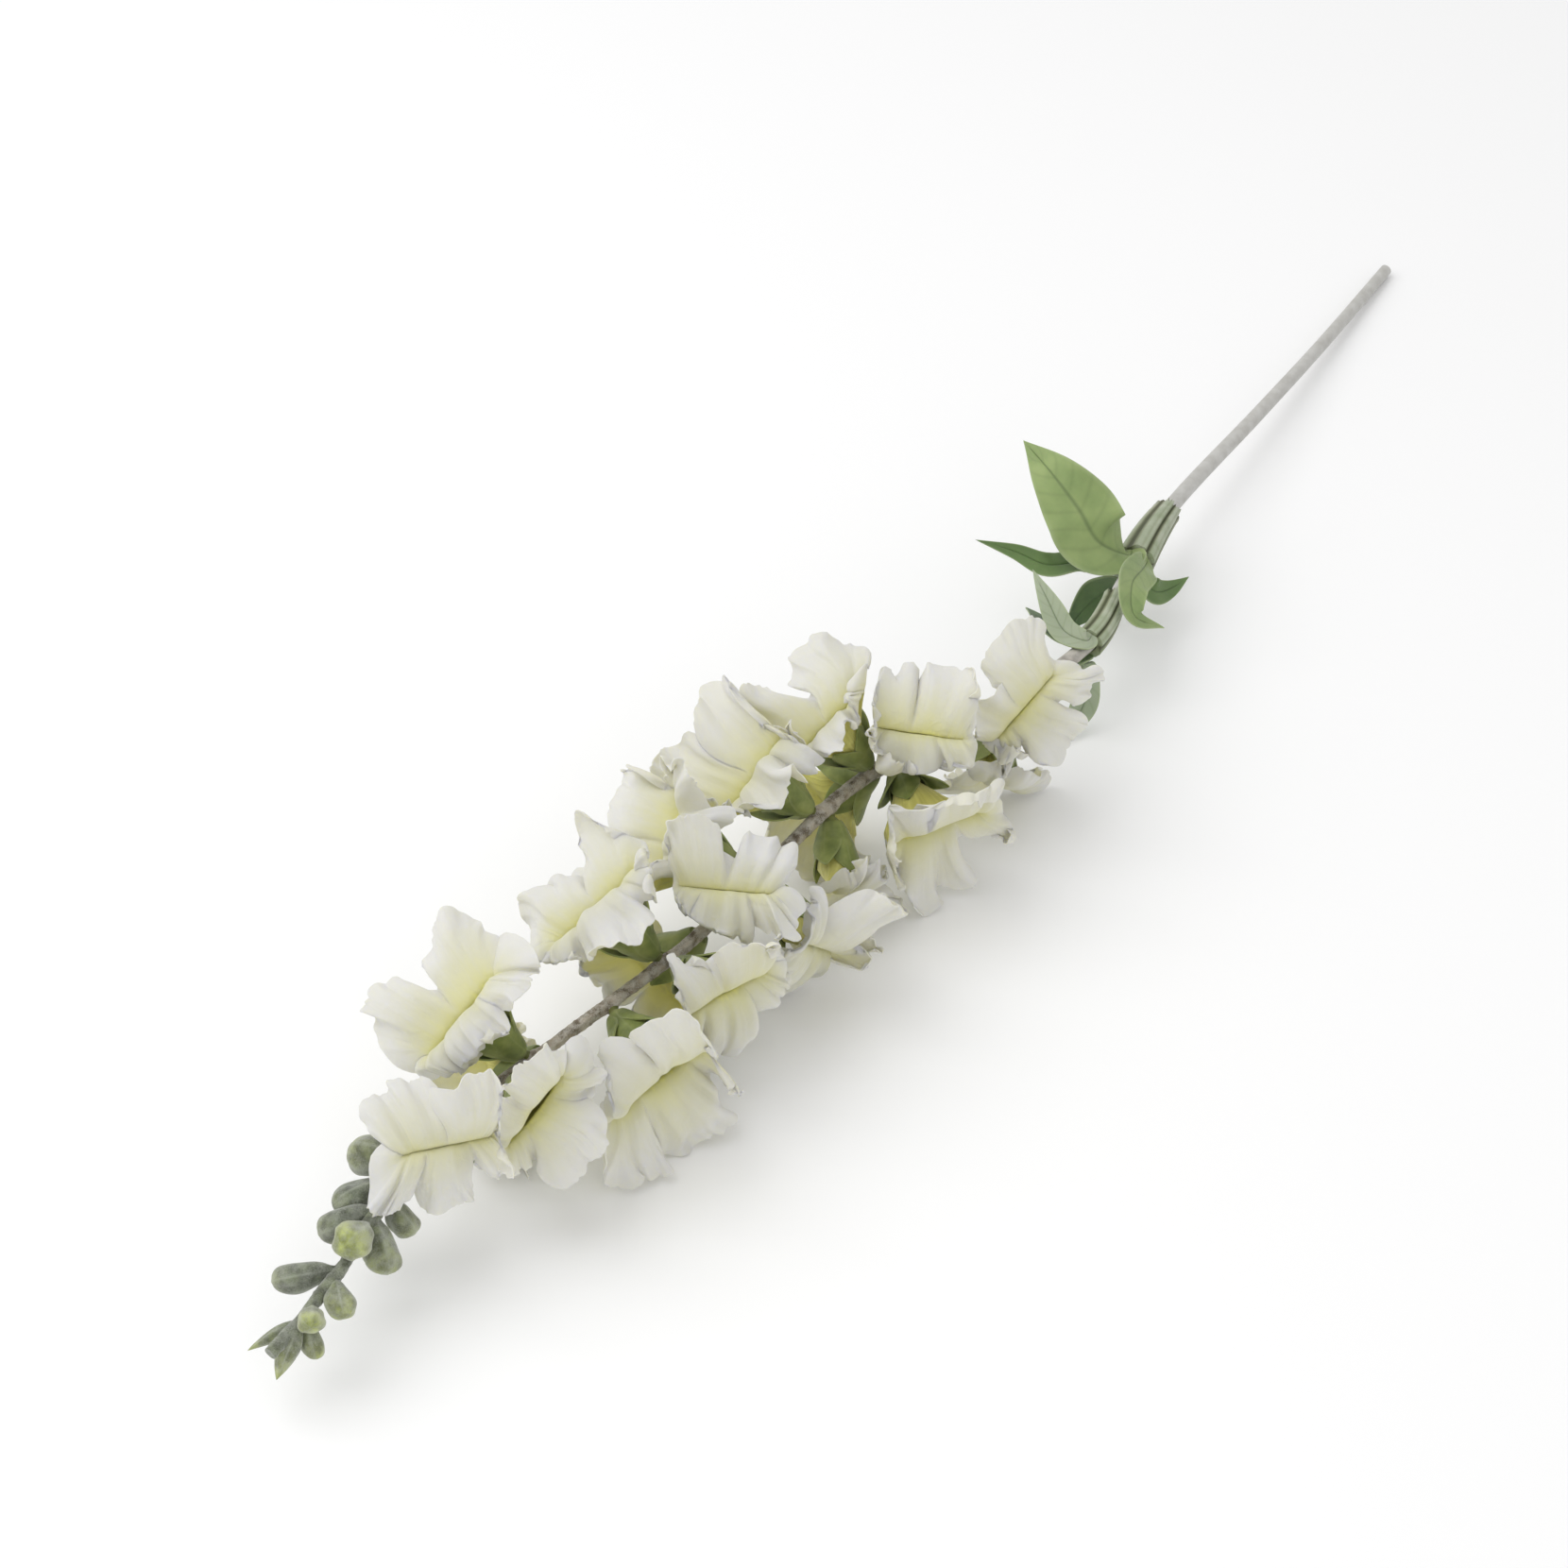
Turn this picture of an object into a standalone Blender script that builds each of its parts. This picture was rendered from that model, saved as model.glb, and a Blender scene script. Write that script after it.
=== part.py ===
"""A cut snapdragon spike lying on its side on a flat surface.

The stem is the one long piece. Leaves leave it from two sheaths, each bloom is a ruffled corolla held in
a green calyx whose short stalk meets the stem, and frosted buds close the tip. The blooms crowd one
another and the surface, so each keeps to the space that is nearer to its own axis than to any other.

Sizes are in millimetres and become metres as a mesh is made. +X runs from the bud tip to the cut end,
+Z is up, and the surface is z = 0.
"""

import math

import bmesh
import bpy
import numpy as np

MM = 0.001
UP = np.array([0.0, 0.0, 1.0])

# The stem's centre line from the cut end to the last bud. The blooms lift it off the surface.
STEM_ROUTE = [
    (351, 8, 2.2), (288, 3, 6), (225, -2, 12), (147, -8, 20), (96, -19, 26), (54, -28, 30), (1, -20, 33),
    (-51, -6, 36), (-95, -4, 37), (-149, -3, 37), (-204, 6, 36), (-237, 13, 34), (-265, 16, 32),
    (-289, 12, 30), (-307, 9, 28), (-326, 8, 26), (-344, 8, 24),
]
CENTRED = np.array([-3.5, 0.9, 0.0])  # moves the stem and the leaves so that the footprint is centred
STEM_RADIUS_AT_CUT = 2.2
STEM_RADIUS_AT_LEAVES = 2.8
STEM_RADIUS_AT_BUDS = 1.7
STEM_LENGTH = 616
LEAVES_AT = 205
STALK_TIP_RADIUS = 1.3

SHEET = 0.8  # thickness of petals, sepals and leaves
SEAT = 0.35  # gap between pieces that touch
CLEARANCE = 1.3  # least gap between the middle surfaces of two blooms

# Each bloom: distance from the cut end, angle round the stem from straight up (positive to the left of
# someone walking from the tip to the cut end), lean from the stem's own direction, turn about its own
# axis, overall size, how far its upper and its lower lip stand open from that axis, how much more each
# of them curls towards its edge, and half the gap between them at the mouth.
BLOOMS = [
    (342, -54, 54, -64, 1.06, 66, 92, 30, 40, 0.22), (350, -150, 62, 60, 0.94, 66, 84, 50, 50, 0.22),
    (387, -30, 60, -132, 1.22, 84, 82, 30, 30, 0.22), (396, -100, 68, -72, 1.34, 84, 72, 36, 26, 0.22),
    (405, 20, 60, -112, 1.14, 46, 70, 20, 50, 0.6), (434, 38, 60, -126, 1.18, 52, 92, 16, 56, 0.22),
    (428, -146, 62, 60, 1.06, 66, 72, 40, 50, 1.0), (468, -116, 76, 48, 1.24, 80, 76, 40, 50, 0.3),
    (470, 58, 62, -116, 1.26, 44, 70, 10, 60, 0.6), (486, -22, 60, -146, 1.02, 84, 84, 40, 50, 0.22),
    (518, 34, 68, -126, 1.26, 62, 84, 20, 50, 0.22), (515, -80, 78, -90, 1.14, 74, 84, 40, 40, 0.3),
    (542, -100, 76, -62, 1.38, 80, 66, 50, 16, 1.2), (574, 34, 60, -120, 1.14, 48, 104, -6, 66, 1.0),
    (582, -72, 68, -56, 0.98, 60, 80, 10, 40, 2.2), (612, -48, 62, -114, 0.96, 74, 84, 30, 50, 0.22),
    (566, 150, 66, 20, 1.12, 54, 56, 40, 40, 1.0), (496, 150, 66, 0, 1.12, 60, 56, 40, 40, 1.0),
    (400, 140, 68, -20, 1.14, 52, 54, 40, 40, 1.0),
]

# The stem's rings are closer together where leaf bases clasp it, so that they follow its bend alike.
CLASPED = (204, 308)
RING_STEPS = (34, 8, 16)  # before, within and after that stretch

# Two sheaths of leaf bases clasp the stem: where each starts and ends, and its radius at both
SHEATHS = [(204, 244, 4.0, 7.0), (268, 300, 3.5, 5.4)]
SHEATH_SWELL = 0.45
SHEATH_COLUMNS = 10
SHEATH_PLEAT = 0.16

# Leaves: the sheath that each leaves, its angle round the stem, points along the rest of its midrib,
# its width, and which way its blade faces at the tip
LEAVES = [
    (0, 18, [(98, -7, 37), (98, 1, 47), (100, 13, 56), (107, 29, 60)], 26, (-0.8, -0.4, 0.5)),
    (0, 66, [(95, -2, 28), (84, 5, 31), (81, 16, 34), (76, 29, 37)], 9.5, (-0.6, -0.3, 0.6)),
    (0, -58, [(97, -25, 33), (84, -28, 36), (74, -35, 32), (83, -42, 24)], 13, (-0.2, -0.5, 1)),
    (0, -118, [(105, -26, 19), (112, -28, 16), (121, -31, 17)], 9, (-0.5, -0.5, 1)),
    (0, 150, [(96, -8, 14), (89, -5, 9), (85, -4, 4)], 15, (-1, -0.3, 0.2)),
    (1, 56, [(54, -16, 31), (62, -6, 26), (72, 6, 20)], 8, (0, -0.4, 1)),
    (1, -16, [(50, -21, 36), (56, -11, 41), (63, -1, 45)], 9, (-0.8, -0.5, 0.4)),
    (1, -172, [(50, -30, 19), (49, -31, 11), (44, -30, 5), (33, -28, 2)], 11, (-0.3, -0.6, 1)),
]
LEAF_BASE = 1.6
LEAF_TIP = 0.6
LEAF_FOLD = 0.14
LEAF_ROWS = 8
LEAF_COLUMNS = 3

# Calyx and corolla, measured along the bloom's axis from the middle of the stem
STALK_RADIUS = 1.5
CUP_AT = 6.6
CUP_RADIUS = 3.6
CUP_CLEAR = 3.7  # least distance from the middle of the stem to the cup's near side
SEPAL_NOTCH_AT = 8.6
SEPAL_TIP_AT = 19.6
SEPAL_SPREAD = 12.2
SEPALS = 5
SEPAL_COLUMNS = 3
TUBE_FROM = 7.35
TUBE_MIDDLE = 15.0
MOUTH_AT = 24.0
MOUTH_HALF_WIDTH = 13.5
LEAST_HALF_GAP = 1.4  # wider than a bloom's own gap, so that the lips' insides stay apart at the mouth

# The five lobes round the mouth: direction in degrees from the bloom's right, half spread and length.
# The first two are the upper lip, the other three are the lower lip.
LOBES = [(54, 52, 24.5), (126, 52, 24.5), (213, 41, 22.0), (270, 43, 23.5), (327, 41, 22.0)]
CORNER_LENGTH = 4.5
UPPER_FAN = 34  # degrees that a lip's corners are turned sideways from its middle
LOWER_FAN = 44
UPPER_SHARE = 9 / 22  # share of the rim's columns that the upper lip takes
ROUNDING = 0.13  # share of a lip's length over which it turns away from the mouth
SIDE_WRAP = 12  # degrees more that the lips curl at the mouth's corners
LOBE_DOME = 12  # and at the sides of each lobe
CRUMPLE = 2.0
RIM_COLUMNS = 22
LIP_RINGS = (0.0, 0.3, 0.66, 1.0)

# Buds: distance from the cut end, angle round the stem, lean, length, width, and whether it is pointed
BUDS = [
    (625, 92, 68, 19.4, 12.4, False), (634, 87, 36, 19.7, 9.8, False), (645, 95, 42, 19.0, 10.2, False),
    (652, -12, 24, 17.0, 11.4, False), (648, -143, 45, 17.6, 11.0, False), (640, -150, 80, 15.0, 8.6, False),
    (669, 93, 54, 20.2, 8.9, False), (672, -110, 39, 13.7, 8.6, False), (684, -66, 38, 11.0, 7.8, False),
    (687, -146, 58, 13.3, 7.0, False), (690, -170, 24, 17.6, 7.4, True), (690, 112, 36, 16.7, 3.8, True),
]
BUD_SIDES = 7
BUD_OUTLINES = {  # share of the length and share of the width
    False: [(0.0, 0.24), (0.2, 0.5), (0.45, 0.88), (0.72, 1.0), (0.93, 0.64)],
    True: [(0.0, 0.3), (0.22, 0.8), (0.48, 1.0), (0.78, 0.56), (0.93, 0.2)],
}


def catmull_rom(points, steps):
    """A smooth line through the points, with that many steps between two of them."""
    points = np.array(points, float)
    ends = np.vstack([2 * points[0] - points[1], points, 2 * points[-1] - points[-2]])
    line = []
    for a, b, c, d in zip(ends, ends[1:], ends[2:], ends[3:]):
        for t in np.arange(steps) / steps:
            line.append(0.5 * (2 * b + (c - a) * t + (2 * a - 5 * b + 4 * c - d) * t**2
                               + (3 * b - a - 3 * c + d) * t**3))
    return np.array(line + [points[-1]])


STEM_LINE = catmull_rom(STEM_ROUTE, 12) + CENTRED
STEM_MARKS = np.concatenate([[0], np.cumsum(np.linalg.norm(np.diff(STEM_LINE, axis=0), axis=1))])


def unit(vector):
    return vector / np.linalg.norm(vector)


def on_stem(distance):
    """The stem's middle at a distance from the cut end, with its forward, upward and sideways directions."""
    def place(mark):
        return np.array([np.interp(mark, STEM_MARKS, axis) for axis in STEM_LINE.T])

    forward = unit(place(distance + 5) - place(distance - 5))
    upward = unit(UP - forward * forward[2])
    return place(distance), forward, upward, np.cross(forward, upward)


def stem_radius(distance):
    return np.interp(distance, [0, LEAVES_AT, STEM_LENGTH, STEM_MARKS[-1]],
                     [STEM_RADIUS_AT_CUT, STEM_RADIUS_AT_LEAVES, STEM_RADIUS_AT_BUDS, STALK_TIP_RADIUS])


def branch(distance, round_stem, lean, turn=0.0, cup_clear=None):
    """The axis of what grows from the stem there: its foot, its direction, and its upper side.

    A bloom that leans far forward is moved outward until its cup clears the stem."""
    foot, forward, upward, sideways = on_stem(distance)
    angle, tilt, turn = math.radians(round_stem), math.radians(lean), math.radians(turn)
    away = upward * math.cos(angle) + sideways * math.sin(angle)
    axis = away * math.sin(tilt) + forward * math.cos(tilt)
    upper_side = unit(forward - axis * (forward @ axis))
    right = np.cross(upper_side, axis)
    if cup_clear:
        near_side = CUP_AT * math.sin(tilt) - CUP_RADIUS * math.cos(tilt)
        foot = foot + away * max(cup_clear - near_side, 0)
    return foot, axis, upper_side * math.cos(turn) - right * math.sin(turn)


def material(name, colour, roughness):
    made = bpy.data.materials.new(name)
    made.use_nodes = True
    shader = made.node_tree.nodes["Principled BSDF"]
    shader.inputs["Base Color"].default_value = (*colour, 1)
    shader.inputs["Roughness"].default_value = roughness
    return made


def add_object(name, points, faces, finish):
    """One named object, from points in millimetres."""
    mesh = bpy.data.meshes.new(name)
    mesh.from_pydata([tuple(p * MM) for p in points], [], faces)
    body = bmesh.new()
    body.from_mesh(mesh)
    bmesh.ops.recalc_face_normals(body, faces=body.faces)
    body.to_mesh(mesh)
    body.free()
    mesh.materials.append(finish)
    mesh.shade_smooth()
    mesh.set_sharp_from_angle(angle=math.radians(50))
    made = bpy.data.objects.new(name, mesh)
    bpy.context.scene.collection.objects.link(made)
    return made


def strips(start, rows, columns, closed=True):
    """Triangles over a grid of points, all split along the same diagonal."""
    faces = []
    for row in range(rows - 1):
        for column in range(columns if closed else columns - 1):
            a = start + row * columns + column
            b = start + row * columns + (column + 1) % columns
            faces += [(a, b, b + columns), (a, b + columns, a + columns)]
    return faces


def grid_normals(grid, closed):
    """Unit normals of a grid of points, row by column."""
    if closed:
        across = np.roll(grid, -1, 1) - np.roll(grid, 1, 1)
    else:
        across = np.gradient(grid, axis=1)
    normals = np.cross(across, np.gradient(grid, axis=0))
    return normals / np.maximum(np.linalg.norm(normals, axis=2, keepdims=True), 1e-9)


def cup_solid(grid, inner_from, thickness):
    """A closed sheet with the shape of a cup, from the rings of its middle surface, foot first.

    Below ring inner_from it is solid. What would reach below the surface it lies on is flattened there."""
    rows, columns, _ = grid.shape
    offset = grid_normals(grid, True) * thickness / 2
    outer, inner = grid + offset, (grid - offset)[inner_from:]
    points = np.vstack([outer.reshape(-1, 3), inner[::-1].reshape(-1, 3),
                        outer[0].mean(0), inner[0].mean(0)])
    points[:, 2] = np.maximum(points[:, 2], 0)
    walls = rows + len(inner)
    faces = strips(0, walls, columns)
    for ring, centre in ((0, walls * columns), (walls - 1, walls * columns + 1)):
        for column in range(columns):
            after = (column + 1) % columns
            pair = [ring * columns + column, ring * columns + after]
            faces.append((*(pair if ring else pair[::-1]), centre))
    return points, faces


# How the blooms share the space round the stem
FLOWER_AXES = []
for row in BLOOMS:
    foot, axis, _ = branch(*row[:4], CUP_CLEAR)
    FLOWER_AXES.append((foot + axis * CUP_AT, foot + axis * (MOUTH_AT + 8) * row[4]))
REACH_STEPS = np.linspace(0.5, 46, 60)
GIVE = 0.72  # share of the allowed reach below which nothing is pushed
BENT_OUT = 0.75  # how much of the width that a neighbour takes becomes height


def nearest_on(segment, points):
    start, end = segment
    along = end - start
    share = np.clip(((points - start) @ along) / (along @ along), 0, 1)
    return start + share[..., None] * along


def allowed_reach(own, feet, rays):
    """How far each ray may run from its bloom's axis before it leaves that bloom's own space."""
    samples = feet[:, None] + rays[:, None] * REACH_STEPS[None, :, None]
    room = (samples[..., 2] - SHEET / 2 + 0.15) * 2
    for other, segment in enumerate(FLOWER_AXES):
        if other != own and np.linalg.norm(segment[1] - FLOWER_AXES[own][1]) < 90:
            distance = np.linalg.norm(samples - nearest_on(segment, samples), axis=2)
            room = np.minimum(room, distance - REACH_STEPS - CLEARANCE)
    blocked = room < 0
    first = np.where(blocked.any(1), blocked.argmax(1), len(REACH_STEPS) - 1)
    before = np.maximum(first - 1, 0)
    rows = np.arange(len(feet))
    near, far = room[rows, before], room[rows, first]
    share = np.where(blocked.any(1) & (near > far), near / np.maximum(near - far, 1e-9), 1.0)
    reach = REACH_STEPS[before] + np.clip(share, 0, 1) * (REACH_STEPS[first] - REACH_STEPS[before])
    return np.maximum(reach, 1.0)


def kept_in(own, points):
    """The points of a bloom, bent clear of its neighbours and of the surface below."""
    shape = points.shape
    points = points.reshape(-1, 3)
    outward = unit(FLOWER_AXES[own][1] - FLOWER_AXES[own][0])
    for bend in (BENT_OUT, 0):
        feet = nearest_on(FLOWER_AXES[own], points)
        rays = points - feet
        width = np.maximum(np.linalg.norm(rays, axis=1), 1e-6)
        rays = rays / width[:, None]
        reach = allowed_reach(own, feet, rays)
        share = width / reach
        eased = GIVE + (1 - GIVE) * np.tanh((share - GIVE) / (1 - GIVE))
        kept = np.where(share < GIVE, width, reach * eased) if bend else np.minimum(width, reach)
        points = feet + rays * kept[:, None] + outward * ((width - kept) * bend)[:, None]
    return points.reshape(shape)


def petal_rim(columns):
    """Directions round the mouth in radians, closer together on the lower lip, which has more lobes."""
    share = np.arange(columns) / columns
    upper = share / UPPER_SHARE * 180
    lower = 180 + (share - UPPER_SHARE) / (1 - UPPER_SHARE) * 180
    return np.radians(np.where(share < UPPER_SHARE, upper, lower)), share


def cut_lobes(angles, chance):
    """The sheet's length in each direction, the share of the way to its lobe's side, the lobe's own bend."""
    length = np.full(len(angles), CORNER_LENGTH)
    to_side = np.ones(len(angles))
    bend, weight = np.zeros(len(angles)), np.full(len(angles), 0.001)
    for centre, spread, reach in LOBES:
        off = np.abs(np.degrees(angles) - centre)
        off = np.minimum(np.minimum(off, 360 - off) / spread, 1)
        length = np.maximum(length, reach * chance.uniform(0.88, 1.08) * (1 - off**2.6) ** 0.55)
        to_side = np.minimum(to_side, off)
        bend += (1 - off) ** 2 * chance.uniform(-1, 1)
        weight += (1 - off) ** 2
    return length, to_side, bend / weight


def corolla_grid(number, columns, lip_rings):
    """The middle surface of one corolla in its own frame: x right, y to its upper side, z outward."""
    size, upper_turn, lower_turn, upper_curl, lower_curl, gape = BLOOMS[number][4:]
    angles, share = petal_rim(columns)
    cosine, sine = np.cos(angles), np.sin(angles)
    rings = []
    for half_width, half_height, height in ((1.8, 1.8, TUBE_FROM), (5.2, 4.6, TUBE_MIDDLE)):
        rings.append(np.stack([half_width * cosine, half_height * sine, np.full(columns, height)], 1))
    gap = max(gape, LEAST_HALF_GAP)
    mouth = np.stack([MOUTH_HALF_WIDTH * cosine, gap * sine, np.full(columns, MOUTH_AT)], 1)
    is_upper = 0.5 + 0.5 * np.tanh(3 * sine)
    fan = np.radians(LOWER_FAN + (UPPER_FAN - LOWER_FAN) * is_upper)
    sideways = fan * np.sign(cosine) * np.abs(cosine) ** 1.3
    flare = np.stack([np.sin(sideways), np.cos(sideways) * np.tanh(6 * sine)], 1)
    flare = flare / np.linalg.norm(flare, axis=1, keepdims=True)
    lengths, to_side, bend = cut_lobes(angles, np.random.default_rng(200 + number))
    open_to = lower_turn + (upper_turn - lower_turn) * is_upper + 16 * bend
    curl = lower_curl + (upper_curl - lower_curl) * is_upper + 36 * bend
    curl = curl + SIDE_WRAP * np.abs(cosine) ** 1.5 + LOBE_DOME * to_side**2
    steps = 24
    line = [mouth]
    for step in range(steps):
        along = (step + 0.5) / steps
        turn = np.radians(open_to * (1 - math.exp(-along / ROUNDING)) + curl * along**1.4)
        outward = np.sin(turn) * lengths / steps
        line.append(line[-1] + np.column_stack([flare * outward[:, None], np.cos(turn) * lengths / steps]))
    line = np.array(line)
    for along in lip_rings:
        low = min(int(along * steps), steps - 1)
        rings.append(line[low] + (line[low + 1] - line[low]) * (along * steps - low))
    grid = np.array(rings)
    crumpling = np.random.default_rng(300 + number)
    crumpled = np.zeros_like(grid)
    for _ in range(5):
        pull, run = unit(crumpling.normal(size=3)), unit(crumpling.normal(size=3))
        wave = np.sin(grid @ run * 2 * math.pi / crumpling.uniform(18, 34) + crumpling.uniform(0, 6.3))
        crumpled += pull * (wave * CRUMPLE / 2)[..., None]
    grid[2:] += crumpled[2:] * (np.array(lip_rings) ** 1.3)[:, None, None]
    stretch = 1 + (size - 1) * np.clip((grid[..., 2:] - TUBE_FROM) / (TUBE_MIDDLE - TUBE_FROM), 0, 1)
    grid[..., :2] *= stretch
    grid[..., 2:] = TUBE_FROM + (grid[..., 2:] - TUBE_FROM) * size
    return grid


def calyx_grid(stem_at):
    """The middle surface of one calyx: its stalk, its cup and its blunt sepals."""
    columns = SEPALS * SEPAL_COLUMNS
    angles = np.arange(columns) / columns * 2 * math.pi + math.pi / 2
    in_sepal = (np.arange(columns) % SEPAL_COLUMNS) / SEPAL_COLUMNS * 2 - 1
    tooth = np.maximum(1 - np.abs(in_sepal) ** 2.6, 0) ** 0.6
    full = np.ones(columns)
    tips = SEPAL_NOTCH_AT + (SEPAL_TIP_AT - SEPAL_NOTCH_AT) * tooth
    middle = SEPAL_NOTCH_AT + (SEPAL_TIP_AT - SEPAL_NOTCH_AT) * 0.45 * tooth
    profile = [
        (STALK_RADIUS * full, (stem_radius(stem_at) + 1.0) * full),
        (CUP_RADIUS * full, CUP_AT * full),
        (5.2 + 1.6 * tooth, middle - 0.6 * (1 - tooth)),
        (5.6 + (SEPAL_SPREAD - 5.6) * tooth, tips),
    ]
    return np.array([np.stack([r * np.cos(angles), r * np.sin(angles), z], 1) for r, z in profile])


def placed(grid, foot, axis, upper_side):
    right = np.cross(upper_side, axis)
    return foot + grid[..., :1] * right + grid[..., 1:2] * upper_side + grid[..., 2:] * axis


def seated(points, stem_at):
    """Points of a stalk's foot, moved to lie just off the stem's round surface."""
    middle, forward, _, _ = on_stem(stem_at)
    from_middle = points - middle
    along = (from_middle @ forward)[:, None] * forward
    across = from_middle - along
    away = across / np.linalg.norm(across, axis=1, keepdims=True)
    return middle + along + away * (stem_radius(stem_at) + SEAT)


def make_bloom(number, petal_finish, calyx_finish):
    stem_at = BLOOMS[number][0]
    frame = branch(*BLOOMS[number][:4], CUP_CLEAR)
    corolla = placed(corolla_grid(number, RIM_COLUMNS, LIP_RINGS), *frame)
    add_object(f"petals_{number + 1:02d}", *cup_solid(kept_in(number, corolla), 1, SHEET), petal_finish)
    calyx = placed(calyx_grid(stem_at), *frame)
    calyx[2:] = kept_in(number, calyx[2:])
    points, faces = cup_solid(calyx, 1, SHEET)
    foot = np.r_[0:calyx.shape[1], len(points) - 2]
    points[foot] = seated(points[foot], stem_at)
    add_object(f"calyx_{number + 1:02d}", points, faces, calyx_finish)


def stem_marks():
    """Where the stem's rings stand, in distance from the cut end."""
    first, last = CLASPED
    return np.concatenate([np.arange(0, first, RING_STEPS[0]), np.arange(first, last, RING_STEPS[1]),
                           np.arange(last, STEM_LENGTH + 1, RING_STEPS[2])])


def make_sheath(number, finish):
    """Leaf bases pressed round the stem in pleats, as one ring with a bore for the stem."""
    first, last, narrow, wide = SHEATHS[number]
    marks = np.arange(first, last + 1, RING_STEPS[1])
    turn = np.arange(SHEATH_COLUMNS) / SHEATH_COLUMNS * 2 * math.pi
    pleat = np.where(np.arange(SHEATH_COLUMNS) % 2, 1.0, 1 - SHEATH_PLEAT)
    swell = ((marks - first) / (last - first)) ** SHEATH_SWELL
    outside = [(mark, (narrow + (wide - narrow) * share) * pleat) for mark, share in zip(marks, swell)]
    bore = [(mark, np.full(SHEATH_COLUMNS, stem_radius(mark) + SEAT)) for mark in marks[::-1]]
    rings = []
    for mark, width in outside + bore:
        middle, _, upward, sideways = on_stem(mark)
        ring = np.outer(np.cos(turn) * width, upward) + np.outer(np.sin(turn) * width, sideways)
        rings.append(middle + ring)
    points = np.array(rings + rings[:1]).reshape(-1, 3)
    faces = np.array(strips(0, len(rings) + 1, SHEATH_COLUMNS)) % (len(rings) * SHEATH_COLUMNS)
    add_object(f"leaf_sheath_{number + 1:02d}", points[:-SHEATH_COLUMNS], faces.tolist(), finish)


def leaf_start(sheath, round_stem):
    """The first two points of a leaf's midrib, just past its sheath's rim, and its outward direction."""
    _, last, _, wide = SHEATHS[sheath]
    middle, forward, upward, sideways = on_stem(last + SEAT + 0.1)
    angle = math.radians(round_stem)
    away = upward * math.cos(angle) + sideways * math.sin(angle)
    reach = (wide * (1 - SHEATH_PLEAT / 2) + stem_radius(last)) / 2 + 0.3
    return [middle + away * reach, middle + away * (reach + 0.7) + forward * 5], away


def leaf_grid(number, rows, columns):
    """The middle surface of a leaf: pointed, widest near its base, folded a little along the midrib."""
    sheath, round_stem, points, width, face_to = LEAVES[number]
    start, face_from = leaf_start(sheath, round_stem)
    midrib = start + [np.array(point, float) + CENTRED for point in points]
    steps = 12
    line = catmull_rom(midrib, steps)
    marks = np.concatenate([[0], np.cumsum(np.linalg.norm(np.diff(line, axis=0), axis=1))])
    share = np.linspace(0, 1, rows) ** 1.2
    spine = np.array([np.interp(share * marks[-1], marks, line[:, k]) for k in range(3)]).T
    slopes = np.gradient(line, axis=0)
    forward = np.array([np.interp(share * marks[-1], marks, slopes[:, k]) for k in range(3)]).T
    turned = share**0.5
    face = np.outer(1 - turned, face_from) + np.outer(turned, unit(np.array(face_to, float)))
    across = np.cross(forward, face)
    across /= np.linalg.norm(across, axis=1, keepdims=True)
    face = np.cross(across, forward)
    face /= np.linalg.norm(face, axis=1, keepdims=True)
    swell = np.maximum(np.sin(math.pi * share**0.72), 0) ** 1.2
    least = np.where(share < 0.4, LEAF_BASE, LEAF_TIP)
    half = least + (width / 2 - least) * swell
    spread = np.linspace(-1, 1, columns)
    return (spine[:, None] + across[:, None] * (half[:, None] * spread)[..., None]
            + face[:, None] * (half[:, None] * LEAF_FOLD * np.abs(spread))[..., None])


def sheet_solid(grid, thickness):
    """A closed sheet of even thickness from a grid of points on its middle surface."""
    rows, columns, _ = grid.shape
    offset = grid_normals(grid, False) * thickness / 2
    points = np.vstack([(grid + offset).reshape(-1, 3), (grid - offset).reshape(-1, 3)])
    below = rows * columns
    top = strips(0, rows, columns, closed=False)
    faces = top + [(below + c, below + b, below + a) for a, b, c in top]
    edge = [*range(columns), *range(2 * columns - 1, below, columns),
            *range(below - 2, below - columns - 1, -1), *range(below - 2 * columns, 0, -columns)]
    for a, b in zip(edge, edge[1:] + edge[:1]):
        faces += [(a, below + b, b), (a, below + a, below + b)]
    points[:, 2] = np.maximum(points[:, 2], 0)
    return points, faces


def tube(marks, radius_at, sides):
    """A closed round tube along the stem's own line between the marks."""
    rings = []
    for mark in marks:
        middle, _, upward, sideways = on_stem(mark)
        turn = np.arange(sides) / sides * 2 * math.pi
        ring = np.outer(np.cos(turn), upward) + np.outer(np.sin(turn), sideways)
        rings.append(middle + ring * radius_at(mark))
    points = np.array(rings).reshape(-1, 3)
    last = (len(marks) - 1) * sides
    faces = strips(0, len(marks), sides)
    faces += [tuple(range(sides)), tuple(range(last + sides - 1, last - 1, -1))]
    points[:, 2] = np.maximum(points[:, 2], 0)
    return points, faces


def make_stem(finish):
    add_object("stem", *tube(stem_marks(), stem_radius, SHEATH_COLUMNS), finish)


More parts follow.
